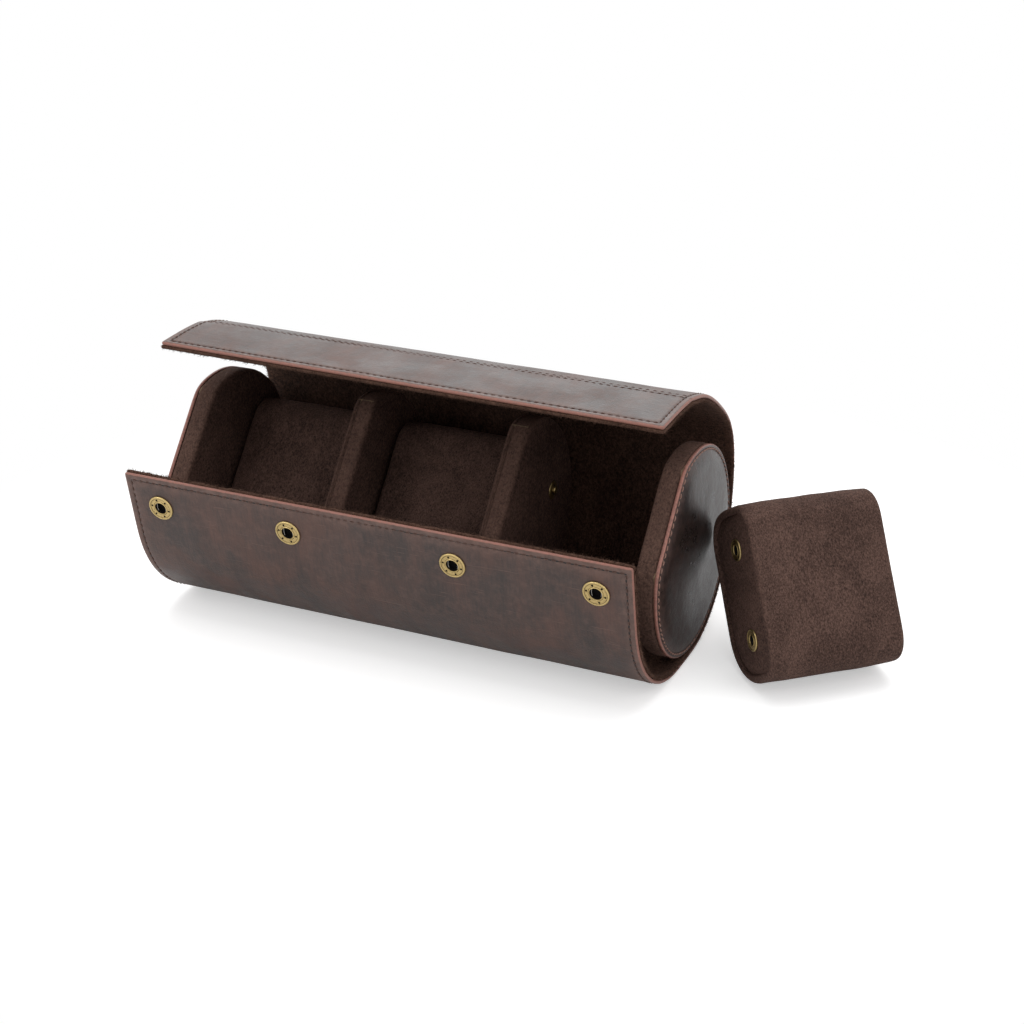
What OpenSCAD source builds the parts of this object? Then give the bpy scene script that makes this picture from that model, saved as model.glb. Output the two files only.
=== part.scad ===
// Three-compartment leather watch travel roll, half open, with its lift-out cushions.
// X runs along the roll, -Y is the front, +Z is up. The origin is on the rest face, at the middle of
// the length, straight below the centre line of the end walls.

/* [Roll] */
// Length of the leather wrap and of the whole roll
case_len = 220; // [190:1:300]
// Radius of the end walls
wall_r = 43.5; // [40:0.5:50]
// Angle of the flat front from the table
flat_tilt = 50; // [45:1:60]
// How far the dividers' flat fronts sit behind those of the end walls
divider_set_back = 7.6; // [2:0.1:14]

/* [Wrap] */
// Thickness of the outer leather
leather_t = 1.6; // [1.2:0.1:2]
// Thickness of the suede lining
lining_t = 1.6; // [1.2:0.1:2]
// Room between the end walls and the closed wrap
wrap_slack = 0.4; // [0.3:0.1:0.8]
// Room between the two flaps where they lap
lap_gap = 1.1; // [1:0.1:1.6]
// How far inside the curve of the closed wrap its top flap folds
fold_inset = 1.6; // [0.8:0.1:2.2]
// Width of the part that lies flat on the table, in front of the walls' centre line
foot_w = 18; // [14:0.5:20]
// Angle round the back at which the free lid begins
lid_start = 2; // [0:1:12]
// Angle at which the lid bends again
lid_bend = 90; // [70:1:100]
// Bend radius of the front panel
front_r = 50; // [48:0.5:50]
// Width of the front flap, from its fold to its edge
front_flap_w = 30.5; // [26:0.5:32]
// Width of the stiff top flap, from its fold to its edge
top_flap_w = 32.5; // [28:0.5:34]
// Thickness of the stiffener in each flap
stiffener_t = 0.8; // [0.4:0.1:1]
// Margin between a stiffener and the flap's edge
stiffener_inset = 4; // [3:0.5:5]

/* [Opening] */
// How far the front panel is folded out, in degrees
front_panel_open = 23; // [0:1:24]
// How far the front flap is folded out, in degrees
front_flap_open = 28; // [0:1:50]
// How far the back of the lid is folded back, in degrees
lid_back_open = 18; // [0:1:45]
// How far the top of the lid is folded back, in degrees
lid_top_open = 22; // [0:1:45]
// How far the top flap is folded back, in degrees
top_flap_open = 8; // [0:1:45]

/* [Walls] */
// Thickness of each stiff board
board_t = 7; // [5:0.5:9]
// Thickness of the suede over a board
suede_t = 1; // [0.8:0.1:1.4]
// Thickness of the end cap's leather
cap_leather_t = 1.6; // [1.2:0.1:2]
// Thickness of the pad under the end cap
cap_pad_t = 1.5; // [1:0.1:2]
// Width of the end cap's stitched margin
cap_margin = 6; // [5:0.5:9]
// Share of a divider's thickness that the left half of its cover reaches
divider_seam = 0.25; // [0.2:0.05:0.5]

/* [Flap snaps] */
// Diameter of a snap's face
snap_d = 11; // [9:0.5:12]
// Height of a snap's face above the leather
snap_h = 0.7; // [0.5:0.1:0.8]
// Diameter of the hole that takes the stud
snap_hole_d = 4.4; // [4.2:0.1:5]
// Distance from the front flap's edge to the snaps
snap_edge = 14; // [11:0.5:15]
// Distance from the middle of the roll to the inner snaps
snap_inner_x = 36; // [30:1:40]
// Distance from each end of the wrap to the outer snaps
snap_end = 15; // [15:1:25]
// Diameter of a stud's head
stud_head_d = 3.8; // [3.4:0.1:3.9]
// How far a stud stands out of the top flap
stud_reach = 2.6; // [1.8:0.1:2.8]

/* [Cushions] */
// Room between a cushion and the wall at its right
cushion_side_gap = 1.8; // [0.6:0.1:6]
// Height of a cushion, in the direction a watch band runs
cushion_h = 71; // [60:1:72]
// Depth of a cushion, from its back to the side a watch lies on
cushion_d = 42; // [36:1:42]
// Radius of a cushion's front edges
cushion_front_r = 12; // [8:0.5:15]
// Radius of a cushion's back edges
cushion_back_r = 19; // [15:0.5:20]
// Room between a cushion's back edges and the lining
cushion_room = 1.2; // [0.6:0.1:3]
// Thickness of the suede sleeve round a cushion
sleeve_t = 1.2; // [0.8:0.1:1.6]
// Thickness of a cushion's end panels
end_panel_t = 1.6; // [1.2:0.1:2.4]
// How far the end panels lie inside the sleeve
end_inset = 0.6; // [0.4:0.1:1]
// Distance between the two snaps on a cushion's end
cushion_snap_gap = 36; // [28:1:38]
// How far a cushion's snaps sit in front of its middle
cushion_snap_front = 2; // [0:0.5:4]
// Diameter of a cushion's snap face
cushion_snap_d = 9; // [8:0.5:10]
// Height of the studs on the walls
wall_stud_h = 1.8; // [1.2:0.1:2]
// Running room between a stud and the cushion
run_gap = 0.3; // [0.3:0.1:0.5]

/* [Loose cushion] */
// Gap between the loose cushion and the right end cap
loose_gap = 0.4; // [0.3:0.1:20]
// Place of the loose cushion's left end from front to back
loose_y = -6; // [-20:0.5:10]
// Turn of the loose cushion on the table, in degrees
loose_yaw = 42; // [36:1:50]
// Angle at which the loose cushion leans back, in degrees
loose_lean = 32; // [20:1:36]

/* [Hidden] */
$fn = 96;
eps = 0.01;

leather_colour = [0.24, 0.11, 0.08];
edge_colour = [0.42, 0.2, 0.17];
suede_colour = [0.2, 0.12, 0.08];
core_colour = [0.55, 0.5, 0.44];
brass_colour = [0.55, 0.44, 0.22];

// The bend surface is where the leather meets the lining, and the hinge lines lie in it.
bend_r = wall_r + wrap_slack + lining_t;
wrap_t = leather_t + lining_t;
// The walls stand on the wrap, which their weight presses flat on the table.
centre = [0, wall_r + wrap_t];
nose_gap = 0.3;
joint_r = max(leather_t, lining_t) + nose_gap;

// The closed front is drawn in its own axes: out from the walls' flat front, and up along it.
out_dir = [cos(90 + flat_tilt), sin(90 + flat_tilt)];
up_dir = [cos(flat_tilt), sin(flat_tilt)];
top_out = bend_r - fold_inset;
front_out = top_out - lining_t - lap_gap - leather_t;
wall_flat = front_out - lining_t - wrap_slack;
divider_flat = wall_flat - divider_set_back;
front_hinge_up = -sqrt(bend_r * bend_r - front_out * front_out);
front_top_up = front_hinge_up + front_flap_w;
fold_up = sqrt(bend_r * bend_r - top_out * top_out);
top_tip_up = fold_up - top_flap_w;
snap_up = front_top_up - snap_edge;
snap_outer_x = case_len / 2 - snap_end;
snap_xs = [-snap_outer_x, -snap_inner_x, snap_inner_x, snap_outer_x];

// Hinge lines, as [y, z] with the roll closed
foot_hinge = [-foot_w, leather_t];
front_hinge = at(front_out, front_hinge_up);
back_hinge = round_point(lid_start);
lid_hinge = round_point(lid_bend);
fold_hinge = at(top_out, fold_up);

// Places along the roll
wall_t = board_t + suede_t;
divider_t = board_t + 2 * suede_t;
wall_inner_x = case_len / 2 - cap_leather_t - wall_t;
compartment_w = (2 * wall_inner_x - 2 * divider_t) / 3;
compartment_xs = [for (i = [0:2]) -wall_inner_x + i * (compartment_w + divider_t)];
divider_xs = [for (i = [0:1]) compartment_xs[i] + compartment_w];

snap_post_d = snap_hole_d + 1.2;
snap_back_d = 8;
snap_back_h = 0.4;
snap_rim_w = 1.2;
snap_dish = 0.3;
spring_t = 0.5;
spring_clear = 0.2;
stud_flange_d = 8;
stud_flange_t = 0.6;
stud_neck_d = 3.2;
stud_cap_d = 9;
stud_head_h = 1.2;

// A cushion fills its compartment from the studs at its left to the gap at its right, and its back
// edges lie cushion_room off the lining.
cushion_off = wall_stud_h + run_gap;
cushion_w = compartment_w - cushion_off - cushion_side_gap;
cushion_back = sqrt(pow(wall_r - cushion_room - cushion_back_r, 2) - pow(cushion_h / 2 - cushion_back_r, 2))
    - (cushion_d / 2 - cushion_back_r);
cushion_snap_h = 0.5;
cushion_hole_d = 4.4;
cushion_post_d = 5.6;
cushion_post_h = 2.4;
wall_stud_d = 8;
wall_stud_flange_t = 0.5;
washer_t = 0.6;
core_pocket_d = cushion_snap_d;

function at(out, up) = centre + out * out_dir + up * up_dir;
function round_point(a) = centre + bend_r * [cos(a), sin(a)];
function angle_of(v) = atan2(v[1], v[0]);

// Centre of the arc of radius r that goes from p to q, on the walls' side of the line between them
function arc_centre(p, q, r) =
    let (half = (q - p) / 2, mid = (p + q) / 2, side = [-half[1], half[0]] / norm(half))
    let (reach = sqrt(r * r - half * half))
    norm(mid + reach * side - centre) < norm(mid - reach * side - centre)
        ? mid + reach * side : mid - reach * side;

// ---- Building blocks -------------------------------------------------------------------------

// Stretches a [y, z] outline along X, from x0 for len
module along(x0, len) {
    translate([x0, 0, 0]) rotate([90, 0, 90]) linear_extrude(len) children();
}

// Turns its children by a degrees about the hinge line through [y, z] = p
module turned(p, a) {
    translate([0, p[0], p[1]]) rotate([a, 0, 0]) translate([0, -p[0], -p[1]]) children();
}

module on_front_panel() {
    turned(foot_hinge, front_panel_open) children();
}

module on_front_flap() {
    on_front_panel() turned(front_hinge, front_flap_open) children();
}

module on_lid_back() {
    turned(back_hinge, -lid_back_open) children();
}

module on_lid_top() {
    on_lid_back() turned(lid_hinge, -lid_top_open) children();
}

module on_top_flap() {
    on_lid_top() turned(fold_hinge, -top_flap_open) children();
}

// Puts its children, drawn with Z out of the flat front, at [x, up] in the closed front's axes
module on_flat(x, out, up) {
    p = at(out, up);
    translate([x, p[0], p[1]]) rotate([flat_tilt, 0, 0]) children();
}

// Sector between two angles, as wide as the roll
module sector(c, a0, a1) {
    reach = 3 * wall_r;
    polygon([for (a = [undef, a0, (a0 + a1) / 2, a1])
        a == undef ? c : c + reach * [cos(a), sin(a)]]);
}

// One layer of a curved panel from p to q, with a round nose at p and a hollow for one at q
module arc_layer(p, q, r, outer) {
    c = arc_centre(p, q, r);
    a0 = angle_of(p - c);
    a1 = angle_of(q - c);
    turn = (a1 - a0 + 540) % 360 - 180;
    t = outer ? leather_t : -lining_t;
    difference() {
        union() {
            intersection() {
                ring(c, r, t);
                sector(c, a0, a0 + turn);
            }
            intersection() {
                ring(c, r, t);
                translate(p) circle(abs(t));
            }
        }
        translate(q) circle(joint_r);
    }
}

module ring(c, r, t) {
    translate(c) difference() {
        circle(max(r, r + t));
        circle(min(r, r + t));
    }
}

// One layer of a straight flap from its hinge to its edge, in the closed front's axes
module flap_layer(out, hinge_up, edge_up, outer) {
    t = outer ? leather_t : -lining_t;
    low = min(hinge_up, edge_up);
    high = max(hinge_up, edge_up);
    translate(centre) rotate(flat_tilt) {
        translate([low, min(out, out + t)]) square([high - low, abs(t)]);
        intersection() {
            translate([hinge_up, out]) circle(abs(t));
            translate([hinge_up - wrap_t, min(out, out + t)]) square([2 * wrap_t, abs(t)]);
        }
    }
}

// Stiffener of a flap, or its pocket in the lining where over is more than 0
module flap_stiffener(out, hinge_up, edge_up, over = 0) {
    low = min(hinge_up, edge_up) + stiffener_inset;
    high = max(hinge_up, edge_up) - stiffener_inset;
    along(-case_len / 2 + stiffener_inset, case_len - 2 * stiffener_inset)
        translate(centre) rotate(flat_tilt) translate([low, out - stiffener_t])
            square([high - low, stiffener_t + over]);
}

// ---- Wrap ------------------------------------------------------------------------------------

module base_section(outer) {
    t = outer ? leather_t : -(lining_t + wrap_slack);
    difference() {
        union() {
            intersection() {
                ring(centre, bend_r, t);
                sector(centre, -90, lid_start);
                square(3 * wall_r);
            }
            translate([-foot_w, outer ? 0 : leather_t]) square([foot_w, outer ? leather_t : lining_t]);
        }
        translate(foot_hinge) circle(joint_r);
        translate(back_hinge) circle(joint_r);
    }
}

module base_leather() {
    color(leather_colour) along(-case_len / 2, case_len) base_section(true);
}

module base_lining() {
    color(suede_colour) along(-case_len / 2, case_len) base_section(false);
}

module front_panel_leather() {
    color(leather_colour) on_front_panel() along(-case_len / 2, case_len)
        arc_layer(foot_hinge, front_hinge, front_r, true);
}

module front_panel_lining() {
    color(suede_colour) on_front_panel() along(-case_len / 2, case_len)
        arc_layer(foot_hinge, front_hinge, front_r, false);
}

module front_flap_leather() {
    color(leather_colour) on_front_flap() difference() {
        along(-case_len / 2, case_len) flap_layer(front_out, front_hinge_up, front_top_up, true);
        snap_post_holes();
    }
}

module front_flap_lining() {
    color(suede_colour) on_front_flap() difference() {
        along(-case_len / 2, case_len) flap_layer(front_out, front_hinge_up, front_top_up, false);
        flap_stiffener(front_out, front_hinge_up, front_top_up, eps);
        snap_post_holes();
    }
}

module front_flap_stiffener() {
    color(core_colour) on_front_flap() difference() {
        flap_stiffener(front_out, front_hinge_up, front_top_up);
        snap_post_holes();
    }
}

module lid_back_leather() {
    color(leather_colour) on_lid_back() along(-case_len / 2, case_len)
        arc_layer(back_hinge, lid_hinge, bend_r, true);
}

module lid_back_lining() {
    color(suede_colour) on_lid_back() along(-case_len / 2, case_len)
        arc_layer(back_hinge, lid_hinge, bend_r, false);
}

module lid_top_leather() {
    color(leather_colour) on_lid_top() along(-case_len / 2, case_len)
        arc_layer(lid_hinge, fold_hinge, bend_r, true);
}

module lid_top_lining() {
    color(suede_colour) on_lid_top() along(-case_len / 2, case_len)
        arc_layer(lid_hinge, fold_hinge, bend_r, false);
}

module top_flap_leather() {
    color(leather_colour) on_top_flap() along(-case_len / 2, case_len)
        flap_layer(top_out, fold_up, top_tip_up, true);
}

module top_flap_lining() {
    color(suede_colour) on_top_flap() difference() {
        along(-case_len / 2, case_len) flap_layer(top_out, fold_up, top_tip_up, false);
        flap_stiffener(top_out, fold_up, top_tip_up, eps);
        at_snaps(top_out - lining_t - eps) cylinder(d = stud_flange_d, h = stud_flange_t + eps);
        at_snaps(top_out - lining_t - eps) cylinder(d = stud_neck_d, h = lining_t + 2 * eps);
    }
}

module top_flap_stiffener() {
    color(core_colour) on_top_flap() difference() {
        flap_stiffener(top_out, fold_up, top_tip_up);
        at_snaps(top_out - stiffener_t - eps) cylinder(d = stud_neck_d, h = stiffener_t + 2 * eps);
        stud_caps();
    }
}

// ---- Flap snaps ------------------------------------------------------------------------------

module at_snaps(out) {
    for (x = snap_xs) on_flat(x, out, snap_up) children();
}

module snap_post_holes() {
    at_snaps(front_out - lining_t - eps) cylinder(d = snap_post_d, h = wrap_t + 2 * eps);
}

module snap_socket() {
    difference() {
        union() {
            cylinder(d = snap_d, h = snap_h);
            translate([0, 0, -wrap_t]) cylinder(d = snap_post_d, h = wrap_t);
        }
        translate([0, 0, snap_h - snap_dish])
            difference() {
                cylinder(d = snap_d - 2 * snap_rim_w, h = snap_dish + eps);
                cylinder(d = snap_hole_d + 1.6, h = snap_dish + eps);
            }
        translate([0, 0, -wrap_t - eps]) cylinder(d = snap_hole_d, h = wrap_t + snap_h + 2 * eps);
        translate([0, 0, -leather_t]) cylinder(d = snap_hole_d + spring_t, h = spring_t);
    }
}

module snap_sockets() {
    color(brass_colour) on_front_flap() at_snaps(front_out + leather_t) snap_socket();
}

module snap_springs() {
    color("silver") on_front_flap() at_snaps(front_out) difference() {
        cylinder(d = snap_hole_d + spring_t, h = spring_t);
        translate([0, 0, -eps]) cylinder(d = stud_head_d + 2 * spring_clear, h = spring_t + 2 * eps);
    }
}

module snap_socket_backs() {
    color(brass_colour) on_front_flap() at_snaps(front_out - lining_t - snap_back_h) difference() {
        cylinder(d = snap_back_d, h = snap_back_h);
        translate([0, 0, -eps]) cylinder(d = snap_hole_d, h = snap_back_h + 2 * eps);
    }
}

module snap_studs() {
    color(brass_colour) on_top_flap() at_snaps(top_out - lining_t) {
        cylinder(d = stud_flange_d, h = stud_flange_t);
        translate([0, 0, -stud_reach]) cylinder(d = stud_neck_d, h = stud_reach + lining_t - stud_cap_t());
        translate([0, 0, -stud_reach]) cylinder(d = stud_head_d, h = stud_head_h);
    }
}

function stud_cap_t() = stiffener_t / 2;

module stud_caps() {
    at_snaps(top_out - stud_cap_t()) cylinder(d = stud_cap_d, h = stud_cap_t() + eps);
}

module snap_stud_caps() {
    color(brass_colour) on_top_flap() at_snaps(top_out - stud_cap_t())
        cylinder(d = stud_cap_d, h = stud_cap_t());
}

// ---- Walls -----------------------------------------------------------------------------------

// Round outline with a flat front, drawn inset from its edge
module wall_outline(flat, inset) {
    intersection() {
        translate(centre) circle(wall_r - inset);
        translate(centre) rotate(flat_tilt) translate([-2 * wall_r, -2 * wall_r])
            square([4 * wall_r, 2 * wall_r + flat - inset]);
    }
}

module wall_plate(flat, inset, x0, t) {
    along(x0, t) wall_outline(flat, inset);
}

// Suede tray over one side of a board: its face lies at x0 and its rim reaches depth towards dir
module suede_tray(flat, x0, dir, depth) {
    difference() {
        wall_plate(flat, 0, min(x0, x0 + dir * depth), depth);
        wall_plate(flat, suede_t, min(x0 + dir * suede_t, x0 + dir * (depth + eps)),
            depth - suede_t + eps);
    }
}

module wall_board(side) {
    x = side * wall_inner_x;
    color(core_colour) difference() {
        wall_plate(wall_flat, suede_t, min(x + side * suede_t, x + side * wall_t), board_t);
        if (side < 0) at_cushion_studs([x]) washer_pocket();
    }
}

module wall_suede(side) {
    x = side * wall_inner_x;
    color(suede_colour) difference() {
        suede_tray(wall_flat, x, side, wall_t);
        if (side < 0) at_cushion_studs([x]) stud_neck_hole();
    }
}

module cap_pad(side) {
    x = side * (wall_inner_x + wall_t);
    color(core_colour) wall_plate(wall_flat, cap_margin, min(x, x + side * cap_pad_t), cap_pad_t);
}

module cap_leather(side) {
    x = side * (wall_inner_x + wall_t);
    raised = cap_leather_t + cap_pad_t;
    color(edge_colour) difference() {
        union() {
            wall_plate(wall_flat, 0, min(x, x + side * cap_leather_t), cap_leather_t);
            wall_plate(wall_flat, cap_margin - cap_leather_t, min(x, x + side * raised), raised);
        }
        wall_plate(wall_flat, cap_margin, min(x - side * eps, x + side * cap_pad_t), cap_pad_t + eps);
    }
}

module left_wall_board() {
    wall_board(-1);
}

module left_wall_suede() {
    wall_suede(-1);
}

module left_cap_pad() {
    cap_pad(-1);
}

module left_cap_leather() {
    cap_leather(-1);
}

module right_wall_board() {
    wall_board(1);
}

module right_wall_suede() {
    wall_suede(1);
}

module right_cap_pad() {
    cap_pad(1);
}

module right_cap_leather() {
    cap_leather(1);
}

module divider_board(x) {
    color(core_colour) difference() {
        wall_plate(divider_flat, suede_t, x + suede_t, board_t);
        at_cushion_studs([x + divider_t]) washer_pocket();
    }
}

module divider_suede_left(x) {
    color(suede_colour) suede_tray(divider_flat, x, 1, divider_seam * divider_t);
}

module divider_suede_right(x) {
    color(suede_colour) difference() {
        suede_tray(divider_flat, x + divider_t, -1, (1 - divider_seam) * divider_t);
        at_cushion_studs([x + divider_t]) stud_neck_hole();
    }
}

module left_divider_board() {
    divider_board(divider_xs[0]);
}

module left_divider_suede_left() {
    divider_suede_left(divider_xs[0]);
}

module left_divider_suede_right() {
    divider_suede_right(divider_xs[0]);
}

module right_divider_board() {
    divider_board(divider_xs[1]);
}

module right_divider_suede_left() {
    divider_suede_left(divider_xs[1]);
}

module right_divider_suede_right() {
    divider_suede_right(divider_xs[1]);
}

// ---- Studs that hold the cushions ------------------------------------------------------------

// Puts its children, drawn with Z along +X, at both studs on each wall face in xs
module at_cushion_studs(xs) {
    for (x = xs, up = [-1, 1] * cushion_snap_gap / 2) {
        p = at(cushion_snap_front - cushion_back, up);
        translate([x, p[0], p[1]]) rotate([0, 90, 0]) children();
    }
}

module washer_pocket() {
    translate([0, 0, -suede_t - washer_t]) cylinder(d = wall_stud_d, h = washer_t + eps);
}

module stud_neck_hole() {
    translate([0, 0, -suede_t - eps]) cylinder(d = stud_neck_d, h = suede_t + 2 * eps);
}

module cushion_studs() {
    color(brass_colour) at_cushion_studs(compartment_xs) {
        cylinder(d = wall_stud_d, h = wall_stud_flange_t);
        translate([0, 0, -suede_t]) cylinder(d = stud_neck_d, h = suede_t + wall_stud_h);
        translate([0, 0, wall_stud_h - stud_head_h / 2]) cylinder(d = stud_head_d, h = stud_head_h / 2);
    }
}

module cushion_stud_washers() {
    color(brass_colour) at_cushion_studs(compartment_xs)
        translate([0, 0, -suede_t - washer_t]) cylinder(d = wall_stud_d, h = washer_t);
}

// ---- Cushions --------------------------------------------------------------------------------

// A cushion stands on its own axes: its left end at X = 0, its front towards -Y, centred in Y and Z.
module cushion_outline(inset) {
    front = cushion_front_r - cushion_d / 2;
    back = cushion_d / 2 - cushion_back_r;
    translate([front, inset - cushion_h / 2]) square([back - front, cushion_h - 2 * inset]);
    cushion_edge(front, cushion_front_r - inset, cushion_front_r);
    cushion_edge(back, cushion_back_r - inset, cushion_back_r);
}

// Rounded front or back of the outline, drawn as a strip between two round corners
module cushion_edge(y, r, corner_r) {
    flat_h = cushion_h / 2 - corner_r;
    translate([y - r, -flat_h]) square([2 * r, 2 * flat_h]);
    for (z = [-flat_h, flat_h]) translate([y, z]) circle(r);
}

module at_cushion_snaps(x) {
    for (z = [-1, 1] * cushion_snap_gap / 2)
        translate([x, -cushion_snap_front, z]) rotate([0, 90, 0]) children();
}

module cushion_core() {
    x = end_inset + end_panel_t;
    color(core_colour) difference() {
        along(x, cushion_w - 2 * x) cushion_outline(sleeve_t);
        at_cushion_snaps(x - eps) cylinder(d = core_pocket_d, h = cushion_post_h);
    }
}

module cushion_sleeve() {
    color(suede_colour) along(0, cushion_w) difference() {
        cushion_outline(0);
        cushion_outline(sleeve_t);
    }
}

module cushion_ends() {
    color(suede_colour) {
        difference() {
            along(end_inset, end_panel_t) cushion_outline(sleeve_t);
            at_cushion_snaps(end_inset - eps) cylinder(d = cushion_post_d, h = end_panel_t + 2 * eps);
        }
        along(cushion_w - end_inset - end_panel_t, end_panel_t) cushion_outline(sleeve_t);
    }
}

module cushion_sockets() {
    color(brass_colour) at_cushion_snaps(end_inset - cushion_snap_h) difference() {
        union() {
            cylinder(d = cushion_snap_d, h = cushion_snap_h);
            cylinder(d = cushion_post_d, h = cushion_snap_h + cushion_post_h);
        }
        translate([0, 0, -eps]) cylinder(d = cushion_hole_d, h = cushion_snap_h + cushion_post_h + 2 * eps);
    }
}

// Puts a cushion into a compartment, clear of the studs on the wall at its left
module in_compartment(i) {
    p = at(-cushion_back, 0);
    translate([compartment_xs[i] + cushion_off, p[0], p[1]]) rotate([flat_tilt - 90, 0, 0]) children();
}

// How far a leaning cushion's middle stands above the table, and in front of its rearmost edge
function lean_height() =
    cushion_back_r + (cushion_d / 2 - cushion_back_r) * sin(loose_lean)
    + (cushion_h / 2 - cushion_back_r) * cos(loose_lean);
function lean_back() =
    cushion_back_r + (cushion_d / 2 - cushion_back_r) * cos(loose_lean)
    + (cushion_h / 2 - cushion_back_r) * sin(loose_lean);

// The loose cushion leans back beside the right end cap, turned so that its left end shows.
module as_loose() {
    x = case_len / 2 + cap_pad_t + loose_gap + lean_back() * sin(loose_yaw);
    translate([x, loose_y, lean_height()]) rotate([0, 0, loose_yaw]) rotate([-loose_lean, 0, 0]) children();
}

module left_cushion_core() {
    in_compartment(0) cushion_core();
}

module left_cushion_sleeve() {
    in_compartment(0) cushion_sleeve();
}

module left_cushion_ends() {
    in_compartment(0) cushion_ends();
}

module left_cushion_sockets() {
    in_compartment(0) cushion_sockets();
}

module middle_cushion_core() {
    in_compartment(1) cushion_core();
}

module middle_cushion_sleeve() {
    in_compartment(1) cushion_sleeve();
}

module middle_cushion_ends() {
    in_compartment(1) cushion_ends();
}

module middle_cushion_sockets() {
    in_compartment(1) cushion_sockets();
}

module loose_cushion_core() {
    as_loose() cushion_core();
}

module loose_cushion_sleeve() {
    as_loose() cushion_sleeve();
}

module loose_cushion_ends() {
    as_loose() cushion_ends();
}

module loose_cushion_sockets() {
    as_loose() cushion_sockets();
}

base_leather();
base_lining();
front_panel_leather();
front_panel_lining();
front_flap_leather();
front_flap_lining();
front_flap_stiffener();
lid_back_leather();
lid_back_lining();
lid_top_leather();
lid_top_lining();
top_flap_leather();
top_flap_lining();
top_flap_stiffener();
snap_sockets();
snap_springs();
snap_socket_backs();
snap_studs();
snap_stud_caps();
left_wall_board();
left_wall_suede();
left_cap_pad();
left_cap_leather();
right_wall_board();
right_wall_suede();
right_cap_pad();
right_cap_leather();
left_divider_board();
left_divider_suede_left();
left_divider_suede_right();
right_divider_board();
right_divider_suede_left();
right_divider_suede_right();
cushion_studs();
cushion_stud_washers();
left_cushion_core();
left_cushion_sleeve();
left_cushion_ends();
left_cushion_sockets();
middle_cushion_core();
middle_cushion_sleeve();
middle_cushion_ends();
middle_cushion_sockets();
loose_cushion_core();
loose_cushion_sleeve();
loose_cushion_ends();
loose_cushion_sockets();
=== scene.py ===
import math

import bmesh
import bpy
import numpy as np
from mathutils import Matrix, Vector
from mathutils.bvhtree import BVHTree


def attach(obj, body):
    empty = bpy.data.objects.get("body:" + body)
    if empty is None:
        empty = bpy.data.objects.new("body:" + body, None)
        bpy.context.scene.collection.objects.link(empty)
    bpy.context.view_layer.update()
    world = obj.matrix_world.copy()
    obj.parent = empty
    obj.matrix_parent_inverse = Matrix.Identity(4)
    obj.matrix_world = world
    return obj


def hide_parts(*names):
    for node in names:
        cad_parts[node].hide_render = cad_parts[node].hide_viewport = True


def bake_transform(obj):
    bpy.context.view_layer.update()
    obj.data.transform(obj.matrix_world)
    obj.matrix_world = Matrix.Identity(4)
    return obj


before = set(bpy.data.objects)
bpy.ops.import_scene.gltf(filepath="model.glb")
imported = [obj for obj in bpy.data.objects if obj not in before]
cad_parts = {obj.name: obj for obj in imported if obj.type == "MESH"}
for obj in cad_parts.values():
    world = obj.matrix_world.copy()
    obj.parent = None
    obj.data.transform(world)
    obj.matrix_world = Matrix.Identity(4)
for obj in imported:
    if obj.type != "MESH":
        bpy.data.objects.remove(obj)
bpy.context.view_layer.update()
scene = bpy.context.scene
mm = 0.001
print("frame loaded")

# small helpers


def unit(degrees):
    return np.array([math.cos(math.radians(degrees)), math.sin(math.radians(degrees))])


def lengthOf(vectors):
    return np.linalg.norm(vectors, axis=-1)


def runAlong(line):  # distance along a line of points
    return np.concatenate([[0], np.cumsum(lengthOf(np.diff(line, axis=0)))])


def atRun(line, run, at):
    return np.stack([np.interp(at, run, line[:, k]) for k in (0, 1)], 1)


def rightOf(ahead):  # unit normals on the right of a line's own direction
    return np.stack([ahead[:, 1], -ahead[:, 0]], 1) / lengthOf(ahead)[:, None]


def offsetRing(ring, inset):  # a closed ring drawn in
    return ring - rightOf(np.roll(ring, -1, 0) - np.roll(ring, 1, 0)) * inset


def axesOf(axis):  # an axis and two directions across it
    axis = np.asarray(axis, float) / np.linalg.norm(axis)
    side = np.cross(axis, [1.0, 0, 0] if abs(axis[0]) < 0.8 else [0, 1.0, 0])
    side /= np.linalg.norm(side)
    return axis, side, np.cross(axis, side)


def turned(points, pivot, degrees):  # points, or one angle for each, turned in the Y-Z plane
    angle = np.radians(np.broadcast_to(degrees, np.shape(points)[:-1]))
    y, z = (np.asarray(points, float) - pivot)[..., 0], (np.asarray(points, float) - pivot)[..., 1]
    c, s = np.cos(angle), np.sin(angle)
    return np.stack([pivot[0] + y * c - z * s, pivot[1] + y * s + z * c], -1)


def smoothStep(t):
    t = np.clip(t, 0, 1)
    return t * t * (3 - 2 * t)


def valueNoise(points, size, seed=0):  # smooth noise from -1 to 1, the same on every run
    p = np.asarray(points, float) / size
    cell = np.floor(p).astype(np.int64)
    f = smoothStep(p - cell)
    total = np.zeros(len(p))
    for corner in range(8):
        step = np.array([corner & 1, corner >> 1 & 1, corner >> 2 & 1])
        c = cell + step
        code = c @ np.array([374761393, 668265263, 2147483647]) + seed * 974634777 & 0xFFFFFFFF
        code = ((code ^ (code >> 13)) * 1274126177) & 0xFFFFFFFF
        weight = np.prod(np.where(step, f, 1 - f), 1)
        total += weight * (((code ^ (code >> 16)) & 0xFFFF) / 32767.5 - 1)
    return total


def newObject(name, data):
    made = bpy.data.objects.new(name, data)
    scene.collection.objects.link(made)
    return made


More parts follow.
